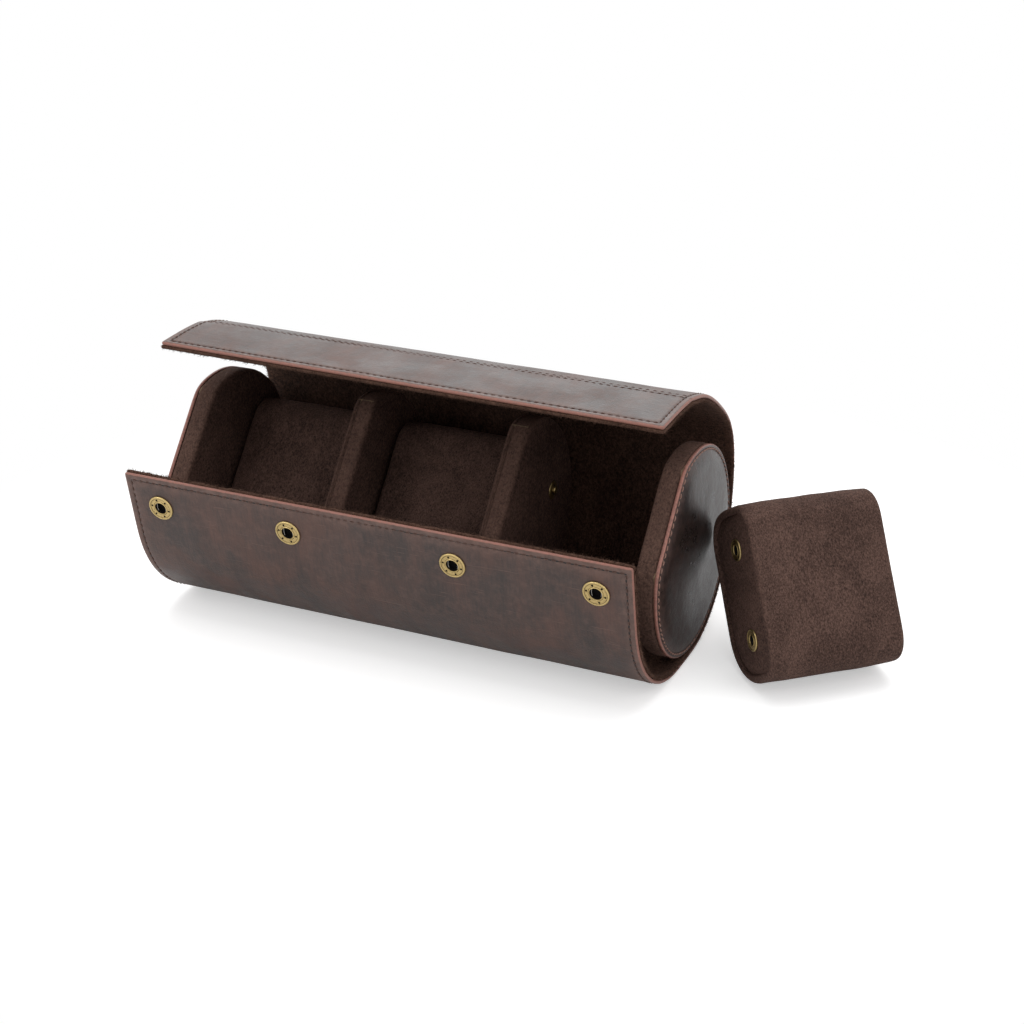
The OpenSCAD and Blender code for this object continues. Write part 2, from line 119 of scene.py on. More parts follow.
def makeMesh(name, points, faces, material, place=None, edge=50.0):  # in mm, with each point's edge gap
    points = np.asarray(points, float)
    mesh = bpy.data.meshes.new(name)
    mesh.from_pydata((points * mm).tolist(), [], [list(map(int, f)) for f in faces])
    work = bmesh.new()
    work.from_mesh(mesh)
    joined = [f for f in work.faces if any(e.is_manifold for e in f.edges)]
    bmesh.ops.recalc_face_normals(work, faces=joined)  # all faces look outwards
    work.to_mesh(mesh)
    work.free()
    mesh.shade_smooth()
    flat = mesh.attributes.new("flatPlace", "FLOAT_VECTOR", "POINT")
    flat.data.foreach_set("vector", np.asarray(points if place is None else place, np.float32).ravel())
    gap = mesh.attributes.new("edgeGap", "FLOAT", "POINT")
    gap.data.foreach_set("value", np.broadcast_to(edge, len(points)).astype(np.float32))
    mesh.materials.append(material)
    mesh.validate()
    return newObject(name, mesh)


def gridFaces(index, wrapRound=False):  # quads over a grid of vertex numbers
    grid = np.hstack([index, index[:, :1]]) if wrapRound else index
    quads = np.stack([grid[:-1, :-1], grid[1:, :-1], grid[1:, 1:], grid[:-1, 1:]], -1)
    return quads.reshape(-1, 4).tolist()


def stacked(rows):  # rings of points, each at its own X
    return np.concatenate([np.column_stack([np.full(len(ring), x), ring]) for x, ring in rows])


def tubeFaces(index):  # a closed tube with a disc at each end
    return gridFaces(index, True) + [list(index[0]), list(index[-1])[::-1]]


def dress(made, body, slot, *nodes):  # rides on a body, or, for a section of the wrap, has its place baked into its mesh
    if isinstance(body, tuple):
        bendOver(made)
    else:
        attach(made, body)
    if nodes:
        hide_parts(*nodes)


def gaussSmooth(points, sigma, step, closed=False):
    half = int(4 * sigma / step) + 1
    kernel = np.exp(-0.5 * (np.arange(-half, half + 1) * step / sigma) ** 2)
    kernel /= kernel.sum()
    if closed:
        padded = np.concatenate([points[-half:], points, points[:half]])
    else:  # mirrored through each end, so the ends stay
        before, after = 2 * points[0] - points[half:0:-1], 2 * points[-1] - points[-2:-half - 2:-1]
        padded = np.concatenate([before, points, after])
    return np.stack([np.convolve(padded[:, k], kernel, "valid") for k in range(points.shape[1])], 1)


# building materials

class Net:  # the nodes of one material or group
    def __init__(self, tree):
        self.tree = tree

    def fill(self, made, inputs):
        for key, value in inputs.items():
            if isinstance(value, bpy.types.NodeSocket):
                self.tree.links.new(value, made.inputs[key])
            else:
                made.inputs[key].default_value = value
        return made.outputs

    def node(self, kind, inputs=None, **props):
        made = self.tree.nodes.new("ShaderNode" + kind)
        for key, value in props.items():
            setattr(made, key, value)
        return self.fill(made, inputs or {})

    def calc(self, operation, a, b=0.0):
        return self.node("Math", {0: a, 1: b}, operation=operation)[0]

    def add(self, first, *others):
        for other in others:
            first = self.calc("ADD", first, other)
        return first

    def times(self, a, b):
        return self.calc("MULTIPLY", a, b)

    def remap(self, value, low, high, toLow=0.0, toHigh=1.0):
        ends = {0: value, 1: low, 2: high, 3: toLow, 4: toHigh}
        return self.node("MapRange", ends, interpolation_type="SMOOTHSTEP")[0]

    def blend(self, factor, a, b):
        return self.node("Mix", {0: factor, 6: a, 7: b}, data_type="RGBA")[2]

    def stretched(self, vector, scale, turn=0.0):
        return self.node("Mapping", {"Vector": vector, "Scale": scale, "Rotation": (0, 0, turn)})[0]

    def noise(self, vector, scale, detail=3.0, rough=0.55, twist=0.0):
        look = {"Vector": vector, "Scale": scale, "Detail": detail, "Roughness": rough, "Distortion": twist}
        return self.node("TexNoise", look)[0]


def newGroup(name, ins):  # a finish of its own: colour, roughness and height
    tree = bpy.data.node_groups.new(name, "ShaderNodeTree")
    for label, kind, value in [("Place", "Vector", (0, 0, 0))] + ins:
        tree.interface.new_socket(label, in_out="INPUT", socket_type="NodeSocket" + kind).default_value = value
    for label, kind in (("Color", "Color"), ("Roughness", "Float"), ("Height", "Float")):
        tree.interface.new_socket(label, in_out="OUTPUT", socket_type="NodeSocket" + kind)
    return Net(tree), tree.nodes.new("NodeGroupInput").outputs


def putOut(net, *values):
    outs = net.tree.nodes.new("NodeGroupOutput").inputs
    for value, socket in zip(values, outs):
        net.tree.links.new(value, socket)
    return net.tree


def rgb(r, g, b):  # screen colour 0-255 to linear
    shares = (r / 255, g / 255, b / 255)
    return tuple(((c + 0.055) / 1.055) ** 2.4 if c > 0.04 else c / 12.92 for c in shares) + (1.0,)


# waxed pull-up leather: clouds, brushed streaks, scratches and a lighter edge
def leatherGroup():
    net, ins = newGroup("waxedLeather", [
        ("Edge Gap", "Float", 50.0), ("Deep", "Color", rgb(58, 46, 45)), ("Warm", "Color", rgb(88, 56, 50)),
        ("Worn", "Color", rgb(112, 76, 68)), ("Cloud Size", "Float", 30.0), ("Scratches", "Float", 1.0),
        ("Edge Wear", "Float", 1.0)])
    place = ins["Place"]
    inverse = net.calc("DIVIDE", 1.0, ins["Cloud Size"])
    cloud = net.noise(place, inverse, 2.5, 0.5, 0.9)
    streak = net.noise(net.stretched(place, (0.085, 0.02, 0.05)), 1.0, 2.5, 0.5, 0.6)
    brushed = net.noise(net.stretched(place, (1.3, 0.16, 0.5)), 1.0, 4, 0.65)
    small = net.noise(place, 0.32, 5, 0.6)
    grain = net.noise(place, 1.7, 4, 0.6)
    pores = net.node("TexVoronoi", {"Vector": place, "Scale": 1.1}, feature="F1")["Distance"]
    warm = net.add(net.remap(cloud, 0.36, 0.7, 0.1, 0.65), net.remap(streak, 0.45, 0.7, 0, 0.35),
                   net.remap(brushed, 0.3, 0.7, -0.18, 0.18))
    colour = net.blend(warm, ins["Deep"], ins["Warm"])
    dark = net.add(net.remap(streak, 0.28, 0.54, 0.3, 0.0), net.remap(brushed, 0.3, 0.5, 0.12, 0.0))
    colour = net.blend(dark, colour, (0.012, 0.009, 0.009, 1))
    colour = net.blend(net.remap(small, 0.42, 0.72, 0.0, 0.26), colour, ins["Worn"])
    lines = 0.0
    for turn, scale in ((0.5, (0.05, 1.5, 0.05)), (-0.9, (0.04, 1.1, 0.05)), (1.45, (0.06, 1.3, 0.05))):
        line = net.noise(net.stretched(place, scale, turn), 1.0, 2, 0.5, 0.25)
        lines = net.calc("MAXIMUM", lines, net.remap(line, 0.69, 0.75))
    lines = net.times(lines, ins["Scratches"])
    colour = net.blend(net.times(lines, 0.4), colour, ins["Worn"])
    near = net.remap(ins["Edge Gap"], 0.4, 7.5, 1.0, 0.0)
    near = net.times(near, net.remap(small, 0.3, 0.7, 0.25, 0.85))
    colour = net.blend(net.times(near, ins["Edge Wear"]), colour, ins["Worn"])
    rough = net.add(net.remap(cloud, 0.35, 0.65, 0.36, 0.48), net.times(lines, 0.08),
                    net.remap(small, 0.3, 0.7, -0.03, 0.05))
    parts = ((grain, 0.55), (small, 1.2), (pores, 0.25), (lines, -0.35))
    height = net.add(*(net.times(value, share) for value, share in parts))
    return putOut(net, colour, rough, height)


# suede: short nap with brushed patches
def suedeGroup():
    net, ins = newGroup("suedeNap", [
        ("Base", "Color", rgb(56, 38, 31)), ("Brushed", "Color", rgb(84, 60, 50)),
        ("Nap Size", "Float", 0.55)])
    place = ins["Place"]
    inverse = net.calc("DIVIDE", 1.0, ins["Nap Size"])
    nap = net.noise(net.stretched(place, (1, 0.6, 0.6)), inverse, 3, 0.75, 0.3)
    tufts = net.noise(place, net.times(inverse, 0.33), 3, 0.6)
    patch = net.noise(net.stretched(place, (0.07, 0.045, 0.06)), 1.0, 4, 0.6, 0.6)
    mask = net.add(net.remap(nap, 0.42, 0.68, 0, 0.75), net.remap(tufts, 0.35, 0.7, 0.0, 0.2),
                   net.remap(patch, 0.35, 0.68, -0.1, 0.25))
    colour = net.blend(mask, ins["Base"], ins["Brushed"])
    # darker, toward near-black, where the nap is low: painted shade in the nap's pits
    napPitShade = net.remap(nap, 0.3, 0.48, 0.75, 0.0)
    colour = net.blend(napPitShade, colour, (0.006, 0.004, 0.003, 1))
    rough = net.remap(tufts, 0.3, 0.7, 0.82, 0.95)
    return putOut(net, colour, rough, net.add(nap, net.times(tufts, 1.4)))


# antique metal: bright on the high parts, dark where the finish has settled
def metalGroup():
    net, ins = newGroup("antiqueMetal", [
        ("Settled", "Float", 0.0), ("Bright", "Color", rgb(206, 176, 112)),
        ("Dark", "Color", rgb(74, 56, 28))])
    place = ins["Place"]
    spots = net.noise(place, 1.3, 5, 0.65)
    fine = net.noise(place, 6.0, 3, 0.6)
    dark = net.add(ins["Settled"], net.remap(spots, 0.5, 0.75, 0, 0.45))
    rough = net.add(net.remap(spots, 0.3, 0.7, 0.26, 0.42), net.times(ins["Settled"], 0.25))
    colour = net.blend(dark, ins["Bright"], ins["Dark"])
    return putOut(net, colour, rough, net.add(fine, spots))


leatherNodes, suedeNodes, metalNodes = leatherGroup(), suedeGroup(), metalGroup()


def startMaterial(name):
    made = bpy.data.materials.new(name)
    made.use_nodes = True
    return made, Net(made.node_tree), made.node_tree.nodes["Principled BSDF"]


def surfaceData(net):  # each point's place in mm and its gap from the edge
    place = net.node("Attribute", attribute_name="flatPlace", attribute_type="GEOMETRY")["Vector"]
    return place, net.node("Attribute", attribute_name="edgeGap", attribute_type="GEOMETRY")["Fac"]


def finishMaterial(net, shader, colour, rough, height, distance, **fixed):
    bump = net.node("Bump", {"Height": height, "Distance": distance, "Strength": 1.0})[0]
    net.fill(shader, {"Base Color": colour, "Roughness": rough, "Normal": bump})
    net.fill(shader, {key.replace("_", " "): value for key, value in fixed.items()})


def leatherMaterial(name, deep, warm, worn, painted, shine, smoother, cloudSize, scratches, edgeWear):
    made, net, shader = startMaterial(name)
    place, gap = surfaceData(net)
    outs = net.node("Group", {
        "Place": place, "Edge Gap": gap, "Deep": deep, "Warm": warm, "Worn": worn, "Cloud Size": cloudSize,
        "Scratches": scratches, "Edge Wear": edgeWear}, node_tree=leatherNodes)
    uneven = net.noise(place, 0.9, 3, 0.6)
    rim = net.remap(net.add(gap, net.times(uneven, 0.3)), 0.45, 0.75, 1.0, 0.0)
    paint = net.blend(net.remap(uneven, 0.35, 0.7, 0.0, 0.5), painted, worn)
    colour = net.blend(rim, outs["Color"], paint)
    rough = net.add(outs["Roughness"], -smoother)
    finishMaterial(net, shader, colour, rough, outs["Height"], 0.00012, Specular_IOR_Level=shine)
    return made


def suedeMaterial(name, base, brushed, napSize):
    made, net, shader = startMaterial(name)
    place, gap = surfaceData(net)
    values = {"Place": place, "Base": base, "Brushed": brushed, "Nap Size": napSize}
    outs = net.node("Group", values, node_tree=suedeNodes)
    uneven = net.remap(net.noise(place, 0.8, 3, 0.6), 0.3, 0.7, 0.3, 1.0)
    rim = net.times(net.remap(gap, 0.3, 2.4, 0.55, 0.0), uneven)
    colour = net.blend(rim, outs["Color"], brushed)
    finishMaterial(net, shader, colour, outs["Roughness"], outs["Height"], 0.0006, Specular_IOR_Level=0.15,
                   Sheen_Weight=0.35, Sheen_Roughness=0.45, Sheen_Tint=brushed)
    return made


def metalMaterial(name, bright, dark, inside=False):
    made, net, shader = startMaterial(name)
    place, gap = surfaceData(net)
    if inside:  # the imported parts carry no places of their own
        place = net.stretched(net.node("TexCoord")["Object"], (1000, 1000, 1000))
    values = {"Place": place, "Settled": gap, "Bright": bright, "Dark": dark}
    outs = net.node("Group", values, node_tree=metalNodes)
    finishMaterial(net, shader, *outs[:3], 0.00003, Metallic=1.0)
    return made


def threadMaterial(name, light, dark):  # twisted thread, with painted shade in the holes at the stitches' ends
    made, net, shader = startMaterial(name)
    place, gap = surfaceData(net)
    look = {"Vector": place, "Scale": 1.1, "Distortion": 1.5}
    strand = net.node("TexWave", look, bands_direction="DIAGONAL")["Fac"]
    colour = net.blend(strand, dark, light)
    # painted shade of the stitch holes, where the edge gap is 0
    colour = net.blend(net.remap(gap, 0.0, 1.0, 1.0, 0.0), colour, rgb(26, 18, 16))
    rough = net.remap(net.noise(place, 2.0, 2), 0.3, 0.7, 0.5, 0.7)
    finishMaterial(net, shader, colour, rough, strand, 0.00008)
    return made


def boardMaterial(name, base, fleck, shine=0.5):  # pressed board and foam, which stay inside, and the painted shade in holes
    made, net, shader = startMaterial(name)
    fibres = net.noise(net.node("TexCoord")["Object"], 900, 4, 0.7)
    colour = net.blend(net.remap(fibres, 0.35, 0.7), base, fleck)
    rough = net.remap(fibres, 0.3, 0.7, 0.75, 0.95)
    finishMaterial(net, shader, colour, rough, fibres, 0.0002, Specular_IOR_Level=shine)
    return made


leather = leatherMaterial(
    "waxedBrownLeather", rgb(58, 48, 45), rgb(84, 59, 51), rgb(110, 84, 75), rgb(144, 95, 82),
    shine=0.42, smoother=0.0, cloudSize=30.0, scratches=1.0, edgeWear=1.0)
# the caps' leather is darker than the wrap's: partly its own colour, partly painted shade for the ends, which
# get less light
capLeather = leatherMaterial(
    "capBrownLeather", rgb(32, 26, 25), rgb(46, 35, 32), rgb(88, 66, 60), rgb(158, 108, 96),
    shine=0.28, smoother=0.07, cloudSize=42.0, scratches=0.5, edgeWear=0.9)
liningSuede = suedeMaterial("liningSuede", rgb(48, 33, 27), rgb(98, 72, 60), 0.62)
wallSuede = suedeMaterial("wallSuede", rgb(55, 39, 34), rgb(104, 79, 69), 0.62)
cushionSuede = suedeMaterial("cushionSuede", rgb(63, 46, 40), rgb(109, 84, 75), 0.5)
brass = metalMaterial("antiqueBrass", rgb(198, 174, 120), rgb(58, 42, 22))
innerBrass = metalMaterial("innerBrass", rgb(198, 174, 120), rgb(58, 42, 22), True)
springSteel = metalMaterial("springSteel", rgb(176, 172, 164), rgb(60, 56, 50))
thread = threadMaterial("brownThread", rgb(98, 70, 60), rgb(56, 39, 34))
# a lighter copy of the brown thread for the caps: painted light on stitches at the ends, which get little light
capThreadPaintedLight = threadMaterial("brownThreadPaintedLight", rgb(168, 130, 116), rgb(112, 80, 70))
pressedBoard = boardMaterial("pressedBoard", rgb(96, 78, 60), rgb(140, 118, 92))
softFoam = boardMaterial("softFoam", rgb(150, 148, 140), rgb(190, 188, 180))
# near-black and hardly shiny: painted shade inside the snap holes and their dimples
paintedHoleShade = boardMaterial("paintedHoleShade", rgb(8, 7, 6), rgb(16, 13, 11), 0.1)
print("materials made")

# the wrap

wrap = dict(
    halfLength=110.0, leatherThick=1.6, liningThick=1.6, edgeRound=0.8, cornerRound=0.9,
    bendRadius=45.5, centreUp=46.7, footWidth=18.0, frontRadius=50.0, flatTurn=50.0,
    frontOut=39.6, frontUp=-22.407, frontPanelOpen=23.0, frontFlapOpen=28.0, frontFlapWidth=30.5,
    lidStart=2.0, lidBend=90.0, topOut=43.9, foldUp=11.963, topFlapWidth=32.5,
    lidBackOpen=18.0, lidTopOpen=22.0, topFlapOpen=8.0,
    backSoft=(30.0, 34.5), lidSoft=(34.5, 21.0), footSoft=(8.0, 8.0), frontSoft=(7.0, 7.0),
    foldSoft=(2.5, 2.5),
    basePast=50.0, foldBefore=6.0, lidEase=25.0, softness=5.0, lidSoftness=6.0, crispness=0.8, crispReach=4.0,
    lineStep=0.25, layerGap=0.03, skew=4.0,
    stitchInset=2.8, stitchPitch=3.0, foldRows=1.7, grooveDeep=0.26, grooveWide=0.55, foldGroove=0.5,
    creaseDeep=0.12, creaseWide=0.6,
    settleAt=(-100, -85, -62, -50, -40, -30, -22, -14, -8, -2, 5, 14, 33),
    settleBy=(0, 0.5, 0.6, 0.65, 0.85, 1.0, 0.7, -0.05, -1.2, -1.0, 0.1, 0.35, 0.35),
    snapXs=(-95.0, -36.0, 36.0, 95.0), snapEdge=14.0, pocketDeep=1.5, pocketReach=3.7)

centre = np.array([0.0, wrap["centreUp"]])
footHinge = np.array([-wrap["footWidth"], wrap["leatherThick"]])


def onFlat(out, up):  # a place on the flat side's own lines, from the centre
    return centre + out * unit(90 + wrap["flatTurn"]) + up * unit(wrap["flatTurn"])


frontHingeShut = onFlat(wrap["frontOut"], wrap["frontUp"])
frontHinge = turned(frontHingeShut, footHinge, wrap["frontPanelOpen"])
backHinge = centre + wrap["bendRadius"] * unit(wrap["lidStart"])
lidHingeShut = centre + wrap["bendRadius"] * unit(wrap["lidBend"])
foldShut = onFlat(wrap["topOut"], wrap["foldUp"])
foldBearing = 90 + wrap["flatTurn"] - math.degrees(math.atan2(wrap["foldUp"], wrap["topOut"]))


def arcLine(centrePoint, radius, fromBearing, toBearing):
    count = max(3, int(abs(toBearing - fromBearing) * math.pi / 180 * radius / wrap["lineStep"]))
    return np.array([centrePoint + radius * unit(b) for b in np.linspace(fromBearing, toBearing, count)])


def straightLine(a, b):
    return np.linspace(a, b, max(3, int(np.linalg.norm(np.subtract(b, a)) / wrap["lineStep"])))


# the front, from the foot out to the flap's edge
chord = frontHinge - footHinge
halfSweep = math.degrees(math.asin(np.linalg.norm(chord) / 2 / wrap["frontRadius"]))
chordBearing = math.degrees(math.atan2(chord[1], chord[0]))
frontCentre = footHinge + wrap["frontRadius"] * unit(chordBearing + halfSweep - 90)
startBearing = chordBearing + halfSweep + 90
frontArc = arcLine(frontCentre, wrap["frontRadius"], startBearing, startBearing - 2 * halfSweep)
flapBearing = wrap["flatTurn"] + wrap["frontPanelOpen"] + wrap["frontFlapOpen"]
flapLine = straightLine(frontHinge, frontHinge + wrap["frontFlapWidth"] * unit(flapBearing))
# the base and the lid, shut; the lid then opens about its soft bends
footReach = math.sqrt(wrap["bendRadius"] ** 2 - (centre[1] - footHinge[1]) ** 2)
footEnd = np.array([footReach, footHinge[1]])
footBearing = math.degrees(math.atan2(footEnd[1] - centre[1], footEnd[0]))
roundLine = arcLine(centre, wrap["bendRadius"], footBearing, foldBearing)
roundRun = np.radians(np.linspace(0, foldBearing - footBearing, len(roundLine))) * wrap["bendRadius"]
topLine = straightLine(foldShut, foldShut - wrap["topFlapWidth"] * unit(wrap["flatTurn"]))


def runOf(bearing):  # distance round the closed roll
    return math.radians(bearing - footBearing) * wrap["bendRadius"]


backRun, lidRun, foldRun = runOf(wrap["lidStart"]), runOf(wrap["lidBend"]), runOf(foldBearing)


def bendShare(run, at, soft):  # 0 before a soft bend, 1 after it
    return smoothStep((run - at + soft[0]) / (soft[0] + soft[1]))


def openLid(points, fold=1.0, lid=1.0, back=1.0):  # turned about each hinge by a share of its opening
    points = turned(points, foldShut, -wrap["topFlapOpen"] * fold)
    points = turned(points, lidHingeShut, -wrap["lidTopOpen"] * lid)
    return turned(points, backHinge, -wrap["lidBackOpen"] * back)


topRun = foldRun + np.linspace(0, wrap["topFlapWidth"], len(topLine))
shutRun = np.concatenate([roundRun, topRun[1:]])
bendRuns = ((foldRun, wrap["foldSoft"]), (lidRun, wrap["lidSoft"]), (backRun, wrap["backSoft"]))
shares = [bendShare(shutRun, at, soft) for at, soft in bendRuns]
lidPart = openLid(np.concatenate([roundLine, topLine[1:]]), *shares)
footLine = straightLine(footHinge, footEnd)
wholeLine = np.concatenate([flapLine[::-1], frontArc[::-1][1:], footLine[1:], lidPart[1:]])
lineRun = runAlong(wholeLine)


def runAt(point):  # distance along the wrap, from the front flap's edge
    return lineRun[np.argmin(np.linalg.norm(wholeLine - point, axis=1))]


marks = dict(flapTip=0.0, front=runAt(frontHinge), foot=runAt(footHinge), back=runAt(backHinge),
             lid=runAt(openLid(lidHingeShut, 0, 0)), fold=runAt(openLid(foldShut)), lidTip=lineRun[-1])
marks.update(frontMid=(marks["front"] + marks["foot"]) / 2, baseMid=marks["foot"] + wrap["basePast"],
             lidMid=(marks["back"] + marks["lid"]) / 2, topMid=marks["fold"] - wrap["foldBefore"])
evenRun = np.linspace(0, lineRun[-1], int(lineRun[-1] / wrap["lineStep"]) + 1)
evenLine = atRun(wholeLine, lineRun, evenRun)
settle = np.interp(evenRun - marks["fold"], wrap["settleAt"], wrap["settleBy"], 0.0)
evenLine = evenLine + rightOf(np.gradient(evenLine, axis=0)) * settle[:, None]
onLid = smoothStep((evenRun - marks["back"]) / wrap["lidEase"])[:, None]
amounts = (wrap["softness"], wrap["lidSoftness"], wrap["crispness"])
soft, lidSoft, crisp = (gaussSmooth(evenLine, amount, wrap["lineStep"]) for amount in amounts)
nearFold = np.exp(-((evenRun - marks["fold"]) / wrap["crispReach"]) ** 2)[:, None]
wrapLine = (soft * (1 - onLid) + lidSoft * onLid) * (1 - nearFold) + crisp * nearFold
wrapOut = rightOf(np.gradient(wrapLine, axis=0))  # points out of the roll


def wrapAt(run, out, x):  # a place on the wrap: distance along it, height over the layers' joint, and X
    # the lid lies a little askew, so it falls short towards its left end
    askew = smoothStep((np.asarray(run, float) - marks["back"]) / (marks["fold"] - marks["back"]))
    run = run - wrap["skew"] * askew * (wrap["halfLength"] - x) / (2 * wrap["halfLength"])
    y, z, oy, oz = (np.interp(run, evenRun, v) for v in (*wrapLine.T, *wrapOut.T))
    over = np.minimum(run, 0) + np.maximum(run - evenRun[-1], 0)  # straight on past either edge
    x = np.broadcast_to(x, np.shape(run))
    return np.stack([x, y + oy * out - oz * over, z + oz * out + oy * over], -1)


def spaced(low, high, step, tipLow, tipHigh, extra=()):  # grid lines, closer near the tips
    edge = [0, 0.05, 0.18, 0.4, 0.8, 1.3, 1.8, 2.2, 2.5, 2.8, 3.1, 3.4, 4.0, 5.2]
    values = list(np.linspace(low, high, int((high - low) / step) + 2))
    values = [v for v in values if (not tipLow or v > low + 6) and (not tipHigh or v < high - 6)]
    values += [low + e for e in edge] if tipLow else [low, low + 0.3]
    values += [high - e for e in edge] if tipHigh else [high, high - 0.3]
    values += [v for v in extra if low < v < high]
    return np.unique(np.round(values, 4))


def bendOver(made):  # bakes its place into its mesh; no body carries it
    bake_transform(made)


sections = [  # name, from, to, the body at each end, the soft bend between them, and the solids' names
    ("frontFlap", "flapTip", "frontMid", ("front_flap", "front_panel"), "front", ["front_flap"]),
    ("front", "frontMid", "baseMid", ("front_panel", "case"), "foot", ["front_panel", "base"]),
    ("back", "baseMid", "lidMid", ("case", "lid_back"), "back", ["lid_back"]),
    ("lid", "lidMid", "topMid", ("lid_back", "lid_top"), "lid", ["lid_top"]),
    ("topFlap", "topMid", "lidTip", ("lid_top", "top_flap"), "fold", ["top_flap"])]
layers = (
    dict(name="Leather", low=wrap["layerGap"], high=wrap["leatherThick"], sewn=True, ragged=0.0, step=3.0,
         swell=0.10, material=leather, slot="leather"),
    dict(name="Lining", low=-wrap["liningThick"], high=-wrap["layerGap"], sewn=False, ragged=0.22, step=1.2,
         swell=0.06, material=liningSuede, slot="suede"))


def hollow(distance, wide):
    return np.exp(-(distance / wide) ** 2)


def makeStrip(section, layer):
    name, first, last, _, _, solids = section
    half, corner, low, high = wrap["halfLength"], wrap["cornerRound"], layer["low"], layer["high"]
    tip, tipWay = (marks["flapTip"], -1) if first == "flapTip" else (marks["lidTip"], 1)
    pocketed = layer["sewn"] and first == "flapTip"  # the front flap's leather has a pocket under each snap
    steps = np.array([-4, -3.2, -2.7, -2.1, -1.5, -1, -0.5, 0, 0.5, 1, 1.5, 2.1, 2.7, 3.2, 4])
    closer = (wrap["snapEdge"] if pocketed else marks["fold"]) + steps
    run = spaced(marks[first], marks[last], 1.6, first == "flapTip", last == "lidTip", closer)
    closer = np.add.outer(wrap["snapXs"], steps).ravel() if pocketed else ()
    run, across = np.meshgrid(run, spaced(-half, half, layer["step"], True, True, closer), indexing="ij")
    fromSide, fromTip = half - np.abs(across), np.abs(tip - run)
    gap = np.maximum(np.minimum(fromSide, fromTip), 0.0)
    inCorner = (fromSide < corner) & (fromTip < corner)  # the square corner is drawn in to a round one
    p, q = corner - fromSide, corner - fromTip
    pull = np.where(inCorner, np.maximum(p, q) / np.maximum(np.hypot(p, q), 1e-9), 1)
    across = np.where(inCorner, np.sign(across) * (half - corner + p * pull), across)
    run = np.where(inCorner, tip + tipWay * (q * pull - corner), run)
    flat = np.stack([across, run, np.zeros(run.shape)], -1).reshape(-1, 3)

    def uneven(wide, seed, share, fineWide):  # two sizes of noise
        fine = share * valueNoise(flat, fineWide, seed + 1)
        return (valueNoise(flat, wide, seed) + fine).reshape(run.shape)

    swell = layer["swell"] * uneven(22, 5, 0.5, 9) * np.clip(gap / 6, 0, 1)
    # the suede's cut edge stands out a little and wanders
    wander = layer["ragged"] * (0.9 + uneven(1.4, 3, 0.7, 4.0)) * np.clip(1 - gap / 2.5, 0, 1)
    across = across + np.sign(across) * wander * (fromSide < 3)
    run = run + tipWay * wander * (fromTip < 3)
    r = min(wrap["edgeRound"], (high - low) / 2)
    mid, rise = (low + high) / 2, (high - low) / 2 * np.sqrt(1 - (1 - np.minimum(gap, r) / r) ** 2)
    dip = np.zeros(run.shape)
    if layer["sewn"]:
        dip += wrap["grooveDeep"] * hollow(gap - wrap["stitchInset"], wrap["grooveWide"])
        fromFold = np.abs(run - marks["fold"])
        dip += wrap["grooveDeep"] * hollow(fromFold - wrap["foldRows"], wrap["foldGroove"])
        dip += wrap["creaseDeep"] * hollow(fromFold, wrap["creaseWide"])
    for at in wrap["snapXs"] if pocketed else ():
        away = np.hypot(across - at, run - wrap["snapEdge"])
        dip += wrap["pocketDeep"] * smoothStep(wrap["pocketReach"] - away)
    top = wrapAt(run, mid + rise - dip * (rise > 0) + swell, across)
    top[..., 2] = np.maximum(top[..., 2], 0.0)
    inner = gap > 0.001  # both faces share the points of the rim
    bottom = wrapAt(run, mid - rise + swell, across)[inner]
    topIndex = np.arange(run.size).reshape(run.shape)
    bottomIndex = topIndex.copy()
    bottomIndex[inner] = run.size + np.arange(inner.sum())
    faces = [f[::-1] for f in gridFaces(topIndex)] + gridFaces(bottomIndex)
    place = np.stack([across, run, mid + rise], -1).reshape(-1, 3)
    under = np.stack([across, run, mid - rise], -1)[inner]
    points = np.concatenate([top.reshape(-1, 3), bottom])
    place, gap = np.concatenate([place, under]), np.concatenate([gap.ravel(), gap[inner]])
    made = makeMesh(name + layer["name"], points, faces, layer["material"], place, gap)
    dress(made, section, layer["slot"], *(solid + "_" + layer["name"].lower() for solid in solids))


for section in sections:
    for layer in layers:
        makeStrip(section, layer)


fuzz = dict(perMm=5.0, length=(0.5, 1.5), rootWide=0.1, rootDeep=0.25, spread=0.5)


def makeFuzz(section, seed):  # short fibres that stand out of the lining's cut edge
    name, first, last, *_ = section
    rng = np.random.default_rng(seed)
    half, deep = wrap["halfLength"], fuzz["rootDeep"]
    tip, tipWay = (marks["flapTip"], -1) if first == "flapTip" else (marks["lidTip"], 1)
    edges = [(marks[first], marks[last], way) for way in (-1, 1)]
    edges += [(-half, half, 0)] if first == "flapTip" or last == "lidTip" else []
    fibres = []
    for low, high, side in edges:
        n = int((high - low) * fuzz["perMm"])
        at = rng.uniform(low + 0.5, high - 0.5, n)
        height = rng.uniform(-wrap["liningThick"] + 0.15, -0.15, n)
        reach = rng.uniform(*fuzz["length"], n)
        slide, tilt = reach * rng.normal(0, fuzz["spread"], n), reach * rng.uniform(-fuzz["spread"], 0, n)
        corners = []
        for share, aside, above in ((0, -1, -1), (0, 1, -1), (0, 0, 1), (1, 0, 0)):  # the root, then the tip
            along = at + slide * share + aside * fuzz["rootWide"]
            outward = share * (reach + deep) - deep
            up = height + tilt * share + above * fuzz["rootWide"]
            spot = (along, up, side * (half + outward)) if side else (tip + tipWay * outward, up, along)
            corners.append(wrapAt(*spot))
        fibres.append(np.stack(corners, 1).reshape(-1, 3))
    points = np.concatenate(fibres)
    base = np.arange(0, len(points), 4)[:, None]
    faces = np.concatenate([base + np.array(f) for f in ((0, 2, 1), (0, 1, 3), (1, 2, 3), (2, 0, 3))])
    dress(makeMesh(name + "Fuzz", points, faces, liningSuede, None, 0.6), section, "suede")


for seed, section in enumerate(sections):
    makeFuzz(section, seed)
print("wrap made:", {k: round(v, 1) for k, v in marks.items()})

# stitching

stitch = dict(length=2.3, thick=0.33, rise=0.2, dip=0.34, slant=8.0, sides=6, holeLong=0.7, holeWide=0.42)


